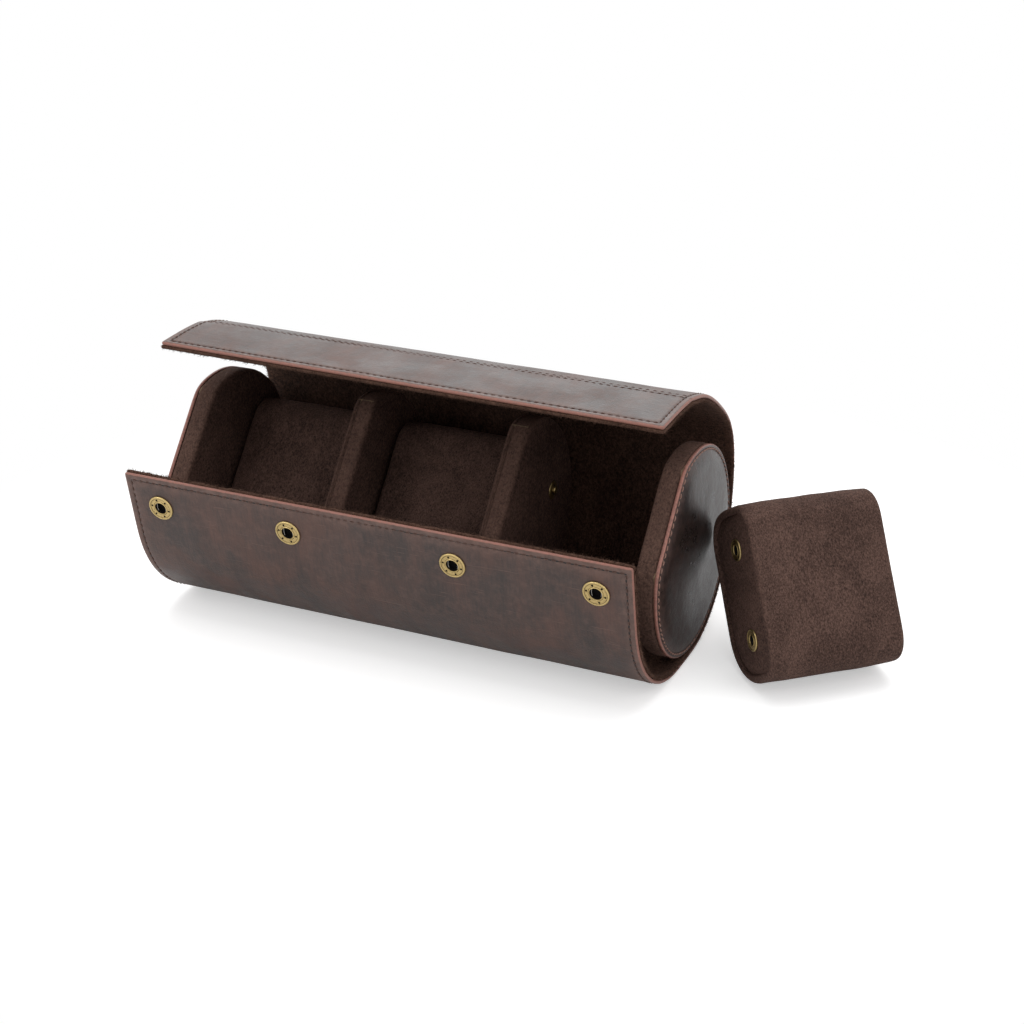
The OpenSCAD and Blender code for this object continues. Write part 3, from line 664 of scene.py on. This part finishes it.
def stitchMesh(spots, lengthways, outways, longer=1.0):  # one bent capsule for each spot
    ringAt = np.linspace(-1, 1, 7)
    size = np.sqrt(np.clip(1 - np.abs(ringAt) ** 3, 0.12, 1)) * stitch["thick"]
    lift = stitch["rise"] - (stitch["rise"] + stitch["dip"]) * np.abs(ringAt) ** 2.6
    spin = np.arange(stitch["sides"]) * 2 * math.pi / stitch["sides"]
    side = np.cross(outways, lengthways)
    slant = math.radians(stitch["slant"])
    along = lengthways * math.cos(slant) + side * math.sin(slant)
    side = np.cross(outways, along)
    core = spots[:, None] + along[:, None] * (ringAt * stitch["length"] * longer / 2)[:, None]
    core = core + outways[:, None] * lift[:, None]
    ring = side[:, None, None] * np.cos(spin)[:, None] + outways[:, None, None] * np.sin(spin)[:, None]
    ring = ring * size[:, None, None]
    points = (core[:, :, None] + ring).reshape(-1, 3)
    one = tubeFaces(np.arange(len(ringAt) * len(spin)).reshape(len(ringAt), -1))
    faces = [[v + n * len(ringAt) * len(spin) for v in f] for n in range(len(spots)) for f in one]
    turn = np.arange(8) * math.pi / 4
    # a dark oval over each stitch hole: painted shade
    hole = spots + lengthways * wrap["stitchPitch"] / 2 + outways * 0.05
    long, wide = lengthways * stitch["holeLong"], np.cross(outways, lengthways) * stitch["holeWide"]
    holeShadeOvals = hole[:, None] + long[:, None] * np.cos(turn)[:, None] + wide[:, None] * np.sin(turn)[:, None]
    faces += (len(points) + np.arange(len(spots) * 8).reshape(-1, 8)).tolist()
    tone = np.repeat([50.0, 0.0], [len(points), holeShadeOvals.size // 3])  # thread, then the painted shade of the holes
    return np.concatenate([points, holeShadeOvals.reshape(-1, 3)]), faces, tone


def stitchRow(low, high):  # evenly spaced between two ends
    count = int((high - low) / wrap["stitchPitch"])
    return low + (np.arange(count) + 0.5) * (high - low) / count


def wrapStitches():  # rows of distance along the wrap, X, and the way that each row is sewn
    inset, half = wrap["stitchInset"], wrap["halfLength"]
    alongWrap, across = stitchRow(inset, marks["lidTip"] - inset), stitchRow(inset - half, half - inset)
    rows = [(run, side * (half - inset), 0, side) for side in (-1, 1) for run in alongWrap]
    for row, way in ((inset, 1), (marks["lidTip"] - inset, -1), (marks["fold"] - wrap["foldRows"], 1),
                     (marks["fold"] + wrap["foldRows"], -1)):
        rows += [(row, x, way, 0) for x in across]
    return np.array(rows, float)


stitches = wrapStitches()
for section in sections:
    picked = stitches[(stitches[:, 0] >= marks[section[1]]) & (stitches[:, 0] < marks[section[2]])]
    run, across, way = picked[:, 0], picked[:, 1], picked[:, 2:]
    up = wrap["leatherThick"] - wrap["grooveDeep"]
    ahead = wrapAt(run + 0.2, up, across) - wrapAt(run - 0.2, up, across)
    lengthways = way[:, :1] * (1.0, 0, 0) + way[:, 1:] * ahead / lengthOf(ahead)[:, None]
    outways = wrapAt(run, 1.0, across) - wrapAt(run, 0.0, across)
    points, faces, tone = stitchMesh(wrapAt(run, up, across), lengthways, outways)
    dress(makeMesh(section[0] + "Stitching", points, faces, thread, None, tone), section, "leather")
print("stitching made:", len(stitches), "stitches")

# walls, dividers and caps

walls = dict(
    radius=43.35, wallFlat=37.6, dividerFlat=30.0, innerX=100.4, outerX=108.4, dividerThick=9.0,
    dividerXs=(-39.47, 30.47), rimRound=1.6, seamShare=0.25, ringPoints=180, cornerSoft=3.0, evenInset=6.0,
    studOut=-12.45, studUp=18.0)


def wallOutline(flat):  # round, with one flat side, its corners softened
    radius = walls["radius"]
    turn = np.arange(walls["ringPoints"]) * 2 * math.pi / walls["ringPoints"]
    facing = np.cos(turn - math.radians(90 + wrap["flatTurn"]))
    reach = np.where(facing > 0.2, np.minimum(radius, flat / np.maximum(facing, 0.2)), radius)
    ring = np.stack([reach * np.cos(turn), reach * np.sin(turn)], 1)
    ring = gaussSmooth(ring, walls["cornerSoft"], 2 * math.pi * radius / len(turn), closed=True)
    return ring * (1 + 0.5 * (walls["cornerSoft"] / radius) ** 2)  # smoothing had drawn it in by this much


def insetRing(ring, inset):  # drawn in along its normals near the edge, and to the middle beyond
    even = walls["evenInset"]
    share = max(0.0, inset - even) / (walls["radius"] - even)
    return offsetRing(ring, min(inset, even)) * max(0.0, 1 - share)


def slabMesh(name, ring, profile, material, ripple, seed, way=1):  # profile: inset and X
    points = stacked([(way * x, insetRing(ring, inset) + centre) for inset, x in profile])
    shift = ripple * (valueNoise(points, 7.0, seed) + 0.6 * valueNoise(points, 2.2, seed + 1))
    axis = points - np.array([points[:, 0].mean(), *centre])
    axis[:, 0] *= 0.2
    points = points + axis / np.maximum(lengthOf(axis), 1e-6)[:, None] * shift[:, None]
    faces = tubeFaces(np.arange(len(points)).reshape(len(profile), -1))
    gaps = np.repeat([inset for inset, _ in profile], len(ring))
    return makeMesh(name, points, faces, material, None, gaps)


def suedeSlab(name, flat, low, high, nodes, seed, seam=None):  # a board covered in suede
    r = walls["rimRound"]
    quarter = [(r - r * math.sin(t), r - r * math.cos(t)) for t in np.radians([0, 18, 36, 54, 72, 90])]
    left = [(38, low + 0.25), (28, low + 0.1), (18, low), (10, low - 0.05), (5, low - 0.02), (2.6, low)]
    left += [(inset, low + x) for inset, x in quarter]
    right = [(inset, high - (x - low)) for inset, x in left][::-1]
    rows = [(0.0, x) for x in np.arange(low + r + 0.6, high - r - 0.3, 0.8)]
    if seam is not None:
        groove = ((0.0, -0.7), (0.12, -0.35), (0.75, 0.0), (0.12, 0.35), (0.0, 0.7))
        rows += [(inset, seam + x) for inset, x in groove]
    profile = left + sorted(rows, key=lambda row: row[1]) + right
    dress(slabMesh(name, wallOutline(flat), profile, wallSuede, 0.09, seed), "case", "suede", *nodes)


for side, which in ((-1, "left"), (1, "right")):
    low, high = sorted((side * walls["innerX"], side * walls["outerX"]))
    suedeSlab(which + "WallSuede", walls["wallFlat"], low, high, [which + "_wall_suede"], 21 + (side > 0))
for seed, which, low in zip((23, 24), ("left", "right"), walls["dividerXs"]):
    halves = [which + "_divider_suede_" + half for half in ("left", "right")]
    thick = walls["dividerThick"]
    seam = low + walls["seamShare"] * thick
    suedeSlab(which + "DividerSuede", walls["dividerFlat"], low, low + thick, halves, seed, seam)

cap = dict(stitchInset=1.8, stitchUp=109.94, stitchLonger=1.22, profile=(  # inset and X
    (9, 108.4), (3, 108.4), (1, 108.42), (0.42, 108.5), (0.12, 108.75), (0, 109.1), (0, 109.4), (0.12, 109.72),
    (0.4, 109.95), (0.7, 110.03), (1, 110.04), (1.3, 109.97), (1.55, 109.86), (1.8, 109.78), (2.1, 109.88),
    (2.4, 110.02), (3, 110.22), (4, 110.5), (5.6, 110.9), (7, 111.14), (9, 111.32), (12, 111.46), (16, 111.6),
    (21, 111.72), (27, 111.82), (33, 111.9), (38, 111.93), (42, 111.95)))

for side, which in ((-1, "left"), (1, "right")):
    ring = wallOutline(walls["wallFlat"])
    made = slabMesh(which + "CapLeather", ring, cap["profile"], capLeather, 0.03, 31 + side, side)
    dress(made, "case", "cap_leather", which + "_cap_leather")
    row = insetRing(ring, cap["stitchInset"])
    closed = np.concatenate([row, row[:1]])
    run = runAlong(closed)
    at = stitchRow(0, run[-1])
    spot = atRun(closed, run, at)
    ahead = atRun(closed, run, (at + 0.5) % run[-1]) - spot
    ahead = np.column_stack([np.zeros(len(at)), ahead / lengthOf(ahead)[:, None]])
    spots = np.column_stack([np.full(len(at), side * cap["stitchUp"]), spot + centre])
    outways = np.tile([float(side), 0, 0], (len(at), 1))
    points, faces, tone = stitchMesh(spots, ahead, outways, cap["stitchLonger"])
    dress(makeMesh(which + "CapStitching", points, faces, capThreadPaintedLight, None, tone), "case", "cap_leather")
print("walls, dividers and caps made")

# metal parts


def latheMesh(name, profile, spots, material, sides, hollowed=False):  # a turned part, or a ring, at each spot
    turn = np.arange(sides) * 2 * math.pi / sides
    points, places, faces = [], [], []
    for origin, axis in spots:
        axis, side, other = axesOf(axis)
        base = len(points) * len(profile) * sides
        rings = [(r * np.cos(turn), r * np.sin(turn), np.full(sides, up)) for r, up, _ in profile]
        local = np.concatenate([np.stack(ring, 1) for ring in rings])
        points.append(np.asarray(origin) + local[:, :1] * side + local[:, 1:2] * other + local[:, 2:] * axis)
        places.append(local + np.asarray(origin))
        index = base + np.arange(len(profile) * sides).reshape(len(profile), sides)
        faces += gridFaces(np.vstack([index, index[:1]]), True) if hollowed else tubeFaces(index)
    tones = np.tile(np.repeat([tone for _, _, tone in profile], sides), len(spots))
    return makeMesh(name, np.concatenate(points), faces, material, np.concatenate(places), tones)


# each profile line: radius, height over the face, and how much dark finish has settled there
snap = dict(
    dots=6, dotAt=3.85, dotUp=0.64, springHalf=2.3, springOut=2.0, springBow=0.35, springThick=0.2,
    springDeep=0.25)
socketProfile = (
    (5, -0.3, 1), (5.35, 0, 0.9), (5.5, 0.2, 0.5), (5.5, 0.42, 0.15), (5.4, 0.66, 0), (5.2, 0.82, 0),
    (4.95, 0.88, 0), (4.75, 0.8, 0.1), (4.64, 0.66, 0.8), (4.55, 0.6, 0.7), (4.4, 0.62, 0.15), (3.5, 0.66, 0.05),
    (3.24, 0.66, 0.1), (3.16, 0.58, 0.9), (3.1, 0.58, 0.9), (3.04, 0.68, 0.1), (2.92, 0.8, 0), (2.8, 0.86, 0),
    (2.68, 0.82, 0.1), (2.58, 0.68, 0.4), (2.52, 0.4, 0.8))
# the hole's cup, drawn in the near-black painted shade
cupProfile = (
    (0.4, -1.38, 1), (2.36, -1.38, 1), (2.4, 0.1, 1), (2.48, 0.3, 1), (2.56, 0.3, 1), (2.56, -1.46, 1),
    (0.4, -1.46, 1))
plugProfile = [(2.56, 0.42, 1), (2.4, 0.1, 1), (2.36, -1.3, 1), (0.4, -1.34, 1)]

# the front flap's sockets
snapPlace = wrapAt(wrap["snapEdge"], wrap["leatherThick"], 0.0)[1:]
snapOut = wrapAt(wrap["snapEdge"], 1.0, 0.0) - wrapAt(wrap["snapEdge"], 0.0, 0.0)
snapSpots = [((x, *snapPlace), snapOut) for x in wrap["snapXs"]]
snapProfile = [(r, h * 0.92, tone) for r, h, tone in socketProfile] + [(2.6, -0.3, 1)]
sockets = latheMesh("snapSockets", snapProfile, snapSpots, brass, 40, True)
dress(sockets, "front_flap", "brass", "snap_sockets")


def around(spots, count, radius, height):  # spots on a ring round each spot
    out = []
    for origin, axis in spots:
        axis, side, other = axesOf(axis)
        for k in range(count):
            t = 2 * math.pi * (k + 0.3) / count
            spot = np.asarray(origin) + side * radius * math.cos(t) + other * radius * math.sin(t)
            out.append((spot + axis * height, axis))
    return out


dotProfile = [(0.44, -0.1, 1), (0.44, 0.025, 1), (0.36, 0.03, 1), (0.1, 0.02, 1)]
dotSpots = around(snapSpots, snap["dots"], snap["dotAt"], snap["dotUp"])
# the dimples round each socket and the cup in its hole are painted shade
dress(latheMesh("snapDots", dotProfile, dotSpots, paintedHoleShade, 10), "front_flap", "brass")
dress(latheMesh("snapCups", cupProfile, snapSpots, paintedHoleShade, 28), "front_flap", "brass")


def springWires(name, spots):  # two bowed wires across each hole
    t = np.linspace(-1, 1, 11)
    spin = np.arange(6)[None, :, None] * math.pi / 3
    points, faces = [], []
    for origin, axis in spots:
        axis, side, other = axesOf(axis)
        for way in (-1, 1):
            core = np.outer(t * snap["springHalf"], side) - snap["springDeep"] * axis + np.asarray(origin)
            core += np.outer(way * (snap["springOut"] - snap["springBow"] * t ** 2), other)
            ring = snap["springThick"] * (np.cos(spin) * other + np.sin(spin) * axis)
            faces += gridFaces(len(points) * len(t) * 6 + np.arange(len(t) * 6).reshape(-1, 6), True)
            points.append((core[:, None] + ring).reshape(-1, 3))
    return makeMesh(name, np.concatenate(points), faces, springSteel, None, 0.2)


dress(springWires("snapSprings", snapSpots), "front_flap", "spring_steel", "snap_springs")

studProfile = (
    (3.7, -0.5, 0.8), (3.95, -0.1, 0.6), (3.95, 0.2, 0.2), (3.8, 0.32, 0), (3.5, 0.36, 0), (3.15, 0.34, 0.1),
    (3.05, 0.15, 0.7), (1.8, 0.15, 0.6), (1.56, 0.3, 0.4), (1.5, 0.8, 0.2), (1.5, 1.5, 0.2), (1.62, 1.64, 0.1),
    (1.8, 1.8, 0), (1.76, 2.05, 0), (1.4, 2.2, 0), (0.4, 2.24, 0))
# a stud meets its socket when the flap is shut
snapUp = wrap["frontUp"] + wrap["frontFlapWidth"] - wrap["snapEdge"]
studPlace = onFlat(wrap["topOut"] - wrap["liningThick"], snapUp)
for pivot, turn in ((foldShut, "topFlapOpen"), (lidHingeShut, "lidTopOpen"), (backHinge, "lidBackOpen")):
    studPlace = turned(studPlace, pivot, -wrap[turn])
studAxis = unit(270 + wrap["flatTurn"] - wrap["topFlapOpen"] - wrap["lidTopOpen"] - wrap["lidBackOpen"])
studSpots = [((x, *studPlace), (0, *studAxis)) for x in wrap["snapXs"]]
dress(latheMesh("snapStuds", studProfile, studSpots, brass, 32), "top_flap", "brass", "snap_studs")

wallStudProfile = (
    (3.6, -0.1, 0.8), (4, 0, 0.6), (4, 0.22, 0.2), (3.8, 0.42, 0), (2.2, 0.5, 0.3), (1.6, 0.6, 0.8),
    (1.55, 0.9, 0.3), (1.7, 1.1, 0), (1.9, 1.3, 0), (1.75, 1.6, 0), (1.2, 1.78, 0), (0.4, 1.8, 0))
wallStudSpots = []
for x in (-walls["innerX"], *(low + walls["dividerThick"] for low in walls["dividerXs"])):
    for up in (-walls["studUp"], walls["studUp"]):
        wallStudSpots.append(((x, *onFlat(walls["studOut"], up)), (1, 0, 0)))
dress(latheMesh("cushionStuds", wallStudProfile, wallStudSpots, brass, 28), "case", "brass", "cushion_studs")
print("metal parts made")

# cushions

cushion = dict(
    width=57.03, tall=71.0, deep=42.0, rimRound=2.2, ringPoints=132, cornerSoft=2.0, endInset=1.5,
    endGap=2.6, panelGap=0.55, snapUp=18.0, snapFront=2.0, snapScale=9 / 11, slack=1.3, voxel=4.0,
    pressure=4.0, frames=20, swellMost=1.9, swellFrom=0.45, swellRange=(-0.15, 0.85), swellSoft=4.0,
    endTaper=13.0, endSunk=0.5, ripple=0.16, fineRipple=0.07,
    panel=((1.0, 2.6), (0.99, 1.5), (0.965, 0.95), (0.9, 0.7), (0.7, 0.55), (0.4, 0.45), (0.15, 0.4)))


def cushionRing(radii, shrink=0.0):  # corners: front top, front bottom, back bottom, back top
    halfDeep, halfTall = cushion["deep"] / 2, cushion["tall"] / 2
    line = []
    for (sy, sz), r, start in zip(((-1, 1), (-1, -1), (1, -1), (1, 1)), radii, (90, 180, 270, 0)):
        c = np.array([sy * (halfDeep - r), sz * (halfTall - r)])
        line += [c + r * unit(b) for b in np.linspace(start, start + 90, 16)]
    closed = np.array(line + line[:1])
    run = runAlong(closed)
    at = np.linspace(0, run[-1], cushion["ringPoints"], endpoint=False)
    return offsetRing(gaussSmooth(atRun(closed, run, at), cushion["cornerSoft"], at[1], closed=True), shrink)


def formPoints(form):
    return np.array([v.co for v in form.data.vertices], float)


def swollenForm(name, radii):  # the stuffed form, blown up by Cloth from a slightly smaller one
    ring = cushionRing(radii, cushion["slack"])
    points = stacked([(x, ring) for x in np.linspace(0.8, cushion["width"] - 0.8, 12)])
    form = makeMesh(name, points, tubeFaces(np.arange(len(points)).reshape(12, -1)), cushionSuede)
    remesh = form.modifiers.new("remesh", "REMESH")
    remesh.mode, remesh.voxel_size = "VOXEL", cushion["voxel"] * mm
    bpy.context.view_layer.objects.active = form
    bpy.ops.object.modifier_apply(modifier="remesh")
    before = formPoints(form)
    cloth = form.modifiers.new("cloth", "CLOTH")
    cloth.settings.quality = 6
    cloth.settings.use_pressure = True
    cloth.settings.uniform_pressure_force = cushion["pressure"]
    cloth.settings.effector_weights.gravity = 0
    for timed in (scene, cloth.point_cache):
        timed.frame_start, timed.frame_end = 1, cushion["frames"]
    for step in range(1, cushion["frames"] + 1):
        scene.frame_set(step)
    bpy.ops.object.modifier_apply(modifier="cloth")
    scene.frame_set(1)
    move = formPoints(form) - before
    far = lengthOf(move)
    move *= (np.minimum(far, cushion["swellMost"] * mm) / np.maximum(far, 1e-9))[:, None]
    tree = BVHTree.FromPolygons((before + move).tolist(), [list(p.vertices) for p in form.data.polygons])
    bpy.data.objects.remove(form)
    return tree, far.max() / mm


def formReach(tree, x, ring):  # how far the stuffed form stands out, past each point of a ring
    start = Vector((np.clip(x, 4, cushion["width"] - 4) * mm, 0, 0))
    plain = lengthOf(ring)
    hits = [tree.ray_cast(start, Vector((0, *way)))[0] for way in ring / plain[:, None]]
    return np.array([far if hit is None else math.hypot(hit.y, hit.z) / mm for hit, far in zip(hits, plain)])


def dressCushion(made, which, place, slot, *nodes):
    made.data.transform(place)
    dress(made, which + "_cushion", slot, *nodes)


def makeSleeve(which, ring, tree, place, seed):
    width, r = cushion["width"], cushion["rimRound"]
    turns = np.radians([-28, -8, 10, 28, 46, 62, 76, 90])
    quarter = [(max(r - r * math.sin(t), 0.0), r - r * math.cos(t)) for t in turns]
    left = [(cushion["endGap"] + 0.9, 4.5), (cushion["endGap"] + 0.5, 3.0)] + quarter
    right = [(inset, width - x) for inset, x in left][::-1]
    rows, gaps = [], []
    for inset, x in left + [(0.0, x) for x in np.linspace(r, width - r, 23)[1:-1]] + right:
        flat, fromEnd = offsetRing(ring, inset), min(x, width - x)
        # what the stuffing adds to the plain section, smoothed round it and let in at the ends
        extra = formReach(tree, x, flat) - lengthOf(ring) + cushion["swellFrom"]
        extra = np.clip(extra, *cushion["swellRange"])[:, None]
        extra = gaussSmooth(extra, cushion["swellSoft"], 1.6, closed=True)
        full = smoothStep(fromEnd / cushion["endTaper"])
        extra = extra * full - cushion["endSunk"] * (1 - full)
        rows.append((x, flat + flat / lengthOf(flat)[:, None] * extra))
        gaps.append(fromEnd + inset)
    points = stacked(rows)
    out = points * (0, 1, 1)
    ripple = cushion["ripple"] * valueNoise(points, 8.0, seed)
    ripple += cushion["fineRipple"] * valueNoise(points, 2.5, seed + 1)
    points = points + out / lengthOf(out)[:, None] * ripple[:, None]
    faces = gridFaces(np.arange(len(points)).reshape(len(rows), -1), True)
    where = points + seed * 13.0
    made = makeMesh(which + "CushionSleeve", points, faces, cushionSuede, where, np.repeat(gaps, len(ring)))
    dressCushion(made, which, place, "cushion_suede", which + "_cushion_sleeve", which + "_cushion_core")


def makePanels(which, ring, place, seed):  # the two flat ends inside the sleeve's rims
    panel, edge = cushion["panel"], offsetRing(ring, cushion["endGap"] + cushion["panelGap"])
    ends = ((0.0, 1), (cushion["width"], -1))
    points = stacked([(x + way * (back + cushion["endInset"] - 0.9), edge * share)
                      for x, way in ends for share, back in panel])
    index = np.arange(len(points)).reshape(2, len(panel), -1)
    faces = [f for block in index for f in gridFaces(block, True) + [list(block[-1])]]
    gaps = np.repeat([(1 - share) * 22 for share, _ in panel * 2], len(ring))
    made = makeMesh(which + "CushionEnds", points, faces, cushionSuede, points + seed * 17.0 + 5, gaps)
    dressCushion(made, which, place, "cushion_suede", which + "_cushion_ends")


def makeCushion(which, radii, spot, turn, tilt, seed):
    place = Matrix.Translation(Vector(spot) * mm) @ Matrix.Rotation(math.radians(turn), 4, "Z")
    place = place @ Matrix.Rotation(math.radians(tilt), 4, "X")
    tree, swell = swollenForm(which + "Form", radii)
    ring = cushionRing(radii)
    makeSleeve(which, ring, tree, place, seed)
    makePanels(which, ring, place, seed)
    ups = (-cushion["snapUp"], cushion["snapUp"])
    spots = [((cushion["endInset"] - 0.35, -cushion["snapFront"], up), (-1, 0, 0)) for up in ups]
    # the second part plugs each socket's hole in near-black: painted shade
    parts = (("Sockets", socketProfile, brass, 36, [which + "_cushion_sockets"]),
             ("PlugShade", plugProfile, paintedHoleShade, 24, []))
    for part, profile, material, sides, nodes in parts:
        profile = [(r * cushion["snapScale"], up * 0.9, tone) for r, up, tone in profile]
        made = latheMesh(which + "Cushion" + part, profile, spots, material, sides)
        dressCushion(made, which, place, "brass", *nodes)
    print(which, "cushion made, swollen by", round(swell, 2), "mm")


roomy = (12.0, 12.0, 19.0, 19.0)
makeCushion("left", roomy, (-98.3, 11.07, 37.41), 0, -40, 1)
makeCushion("middle", roomy, (-28.37, 11.07, 37.41), 0, -40, 2)
makeCushion("loose", (12.0, 11.0, 20.0, 15.0), (131.6, -6.0, 34.05), 42, -32, 3)

# what stays inside

for nodeName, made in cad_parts.items():
    if nodeName.endswith("_core") or nodeName.endswith("_pad"):
        finish = softFoam
    elif nodeName.endswith("_board") or nodeName.endswith("_stiffener"):
        finish = pressedBoard
    else:
        finish = innerBrass
    for place in made.material_slots:
        place.material = finish
print("inner parts finished")

# camera, floor and light

view = dict(place=(0.3358, -0.6832, 0.3864), turn=24.09, down=24.25, lens=70.0)
camera = bpy.data.cameras.new("camera")
camera.lens, camera.sensor_width = view["lens"], 36.0
camera.clip_start, camera.clip_end = 0.01, 20.0
scene.camera = newObject("camera", camera)
scene.camera.location = view["place"]
scene.camera.rotation_euler = (math.radians(90 - view["down"]), 0, math.radians(view["turn"]))

lighting = dict(world=0.6, floorPale=0.9, floorLift=0.43, middle=(0.04, -0.01, 0), fadeFrom=0.19, fadeTo=0.3)


def areaLight(name, place, target, size, power):
    lamp = bpy.data.lights.new(name, "AREA")
    lamp.shape, lamp.size, lamp.energy = "SQUARE", size, power
    made = newObject(name, lamp)
    made.location = place
    made.rotation_euler = (Vector(target) - Vector(place)).to_track_quat("-Z", "Y").to_euler()


areaLight("overhead", (0.0, 0.1, 1.3), (0, 0, 0.05), 1.3, 8.4)
areaLight("rear", (-0.45, 1.25, 0.85), (0, 0, 0.08), 0.9, 3.6)
areaLight("frontLeft", (-0.75, -1.0, 0.75), (0, 0, 0.05), 0.8, 3.8)
areaLight("right", (0.9, -0.5, 0.8), (0.05, 0, 0.05), 0.6, 2.0)

scene.world = bpy.data.worlds.new("studio")
scene.world.use_nodes = True
net = Net(scene.world.node_tree)
path = net.node("LightPath")
mirrored = net.calc("MAXIMUM", path["Is Glossy Ray"], path["Is Transmission Ray"])
seen = net.calc("MAXIMUM", path["Is Camera Ray"], mirrored)
bright = net.remap(seen, 0.0, 1.0, lighting["world"], 1.0)
net.fill(net.tree.nodes["Background"], {"Color": (1, 1, 1, 1), "Strength": bright})

floorMesh = bpy.data.meshes.new("floor")
floorMesh.from_pydata([(-6, -6, 0), (6, -6, 0), (6, 6, 0), (-6, 6, 0)], [], [(0, 1, 2, 3)])
floor = newObject("floor", floorMesh)
floorPaint, net, shader = startMaterial("floorPaint")
pale = lighting["floorPale"]
net.fill(shader, {"Base Color": (pale, pale, pale, 1), "Roughness": 0.8, "Specular IOR Level": 0.0})
cameraRay = net.node("LightPath")["Is Camera Ray"]
where = net.node("TexCoord")["Object"]
away = net.node("VectorMath", {0: where, 1: lighting["middle"]}, operation="DISTANCE")["Value"]
fade = net.times(net.remap(away, lighting["fadeFrom"], lighting["fadeTo"]), cameraRay)
strengths = (net.times(cameraRay, lighting["floorLift"]), 1.0)
lift, glow = (net.node("Emission", {"Color": (1, 1, 1, 1), "Strength": v})[0] for v in strengths)
lifted = net.node("AddShader", {0: shader.outputs[0], 1: lift})[0]
both = net.node("MixShader", {0: fade, 1: lifted, 2: glow})[0]
net.fill(net.tree.nodes["Material Output"], {"Surface": both})
floorMesh.materials.append(floorPaint)

scene.view_settings.view_transform = "Standard"
print("camera, floor and light set")
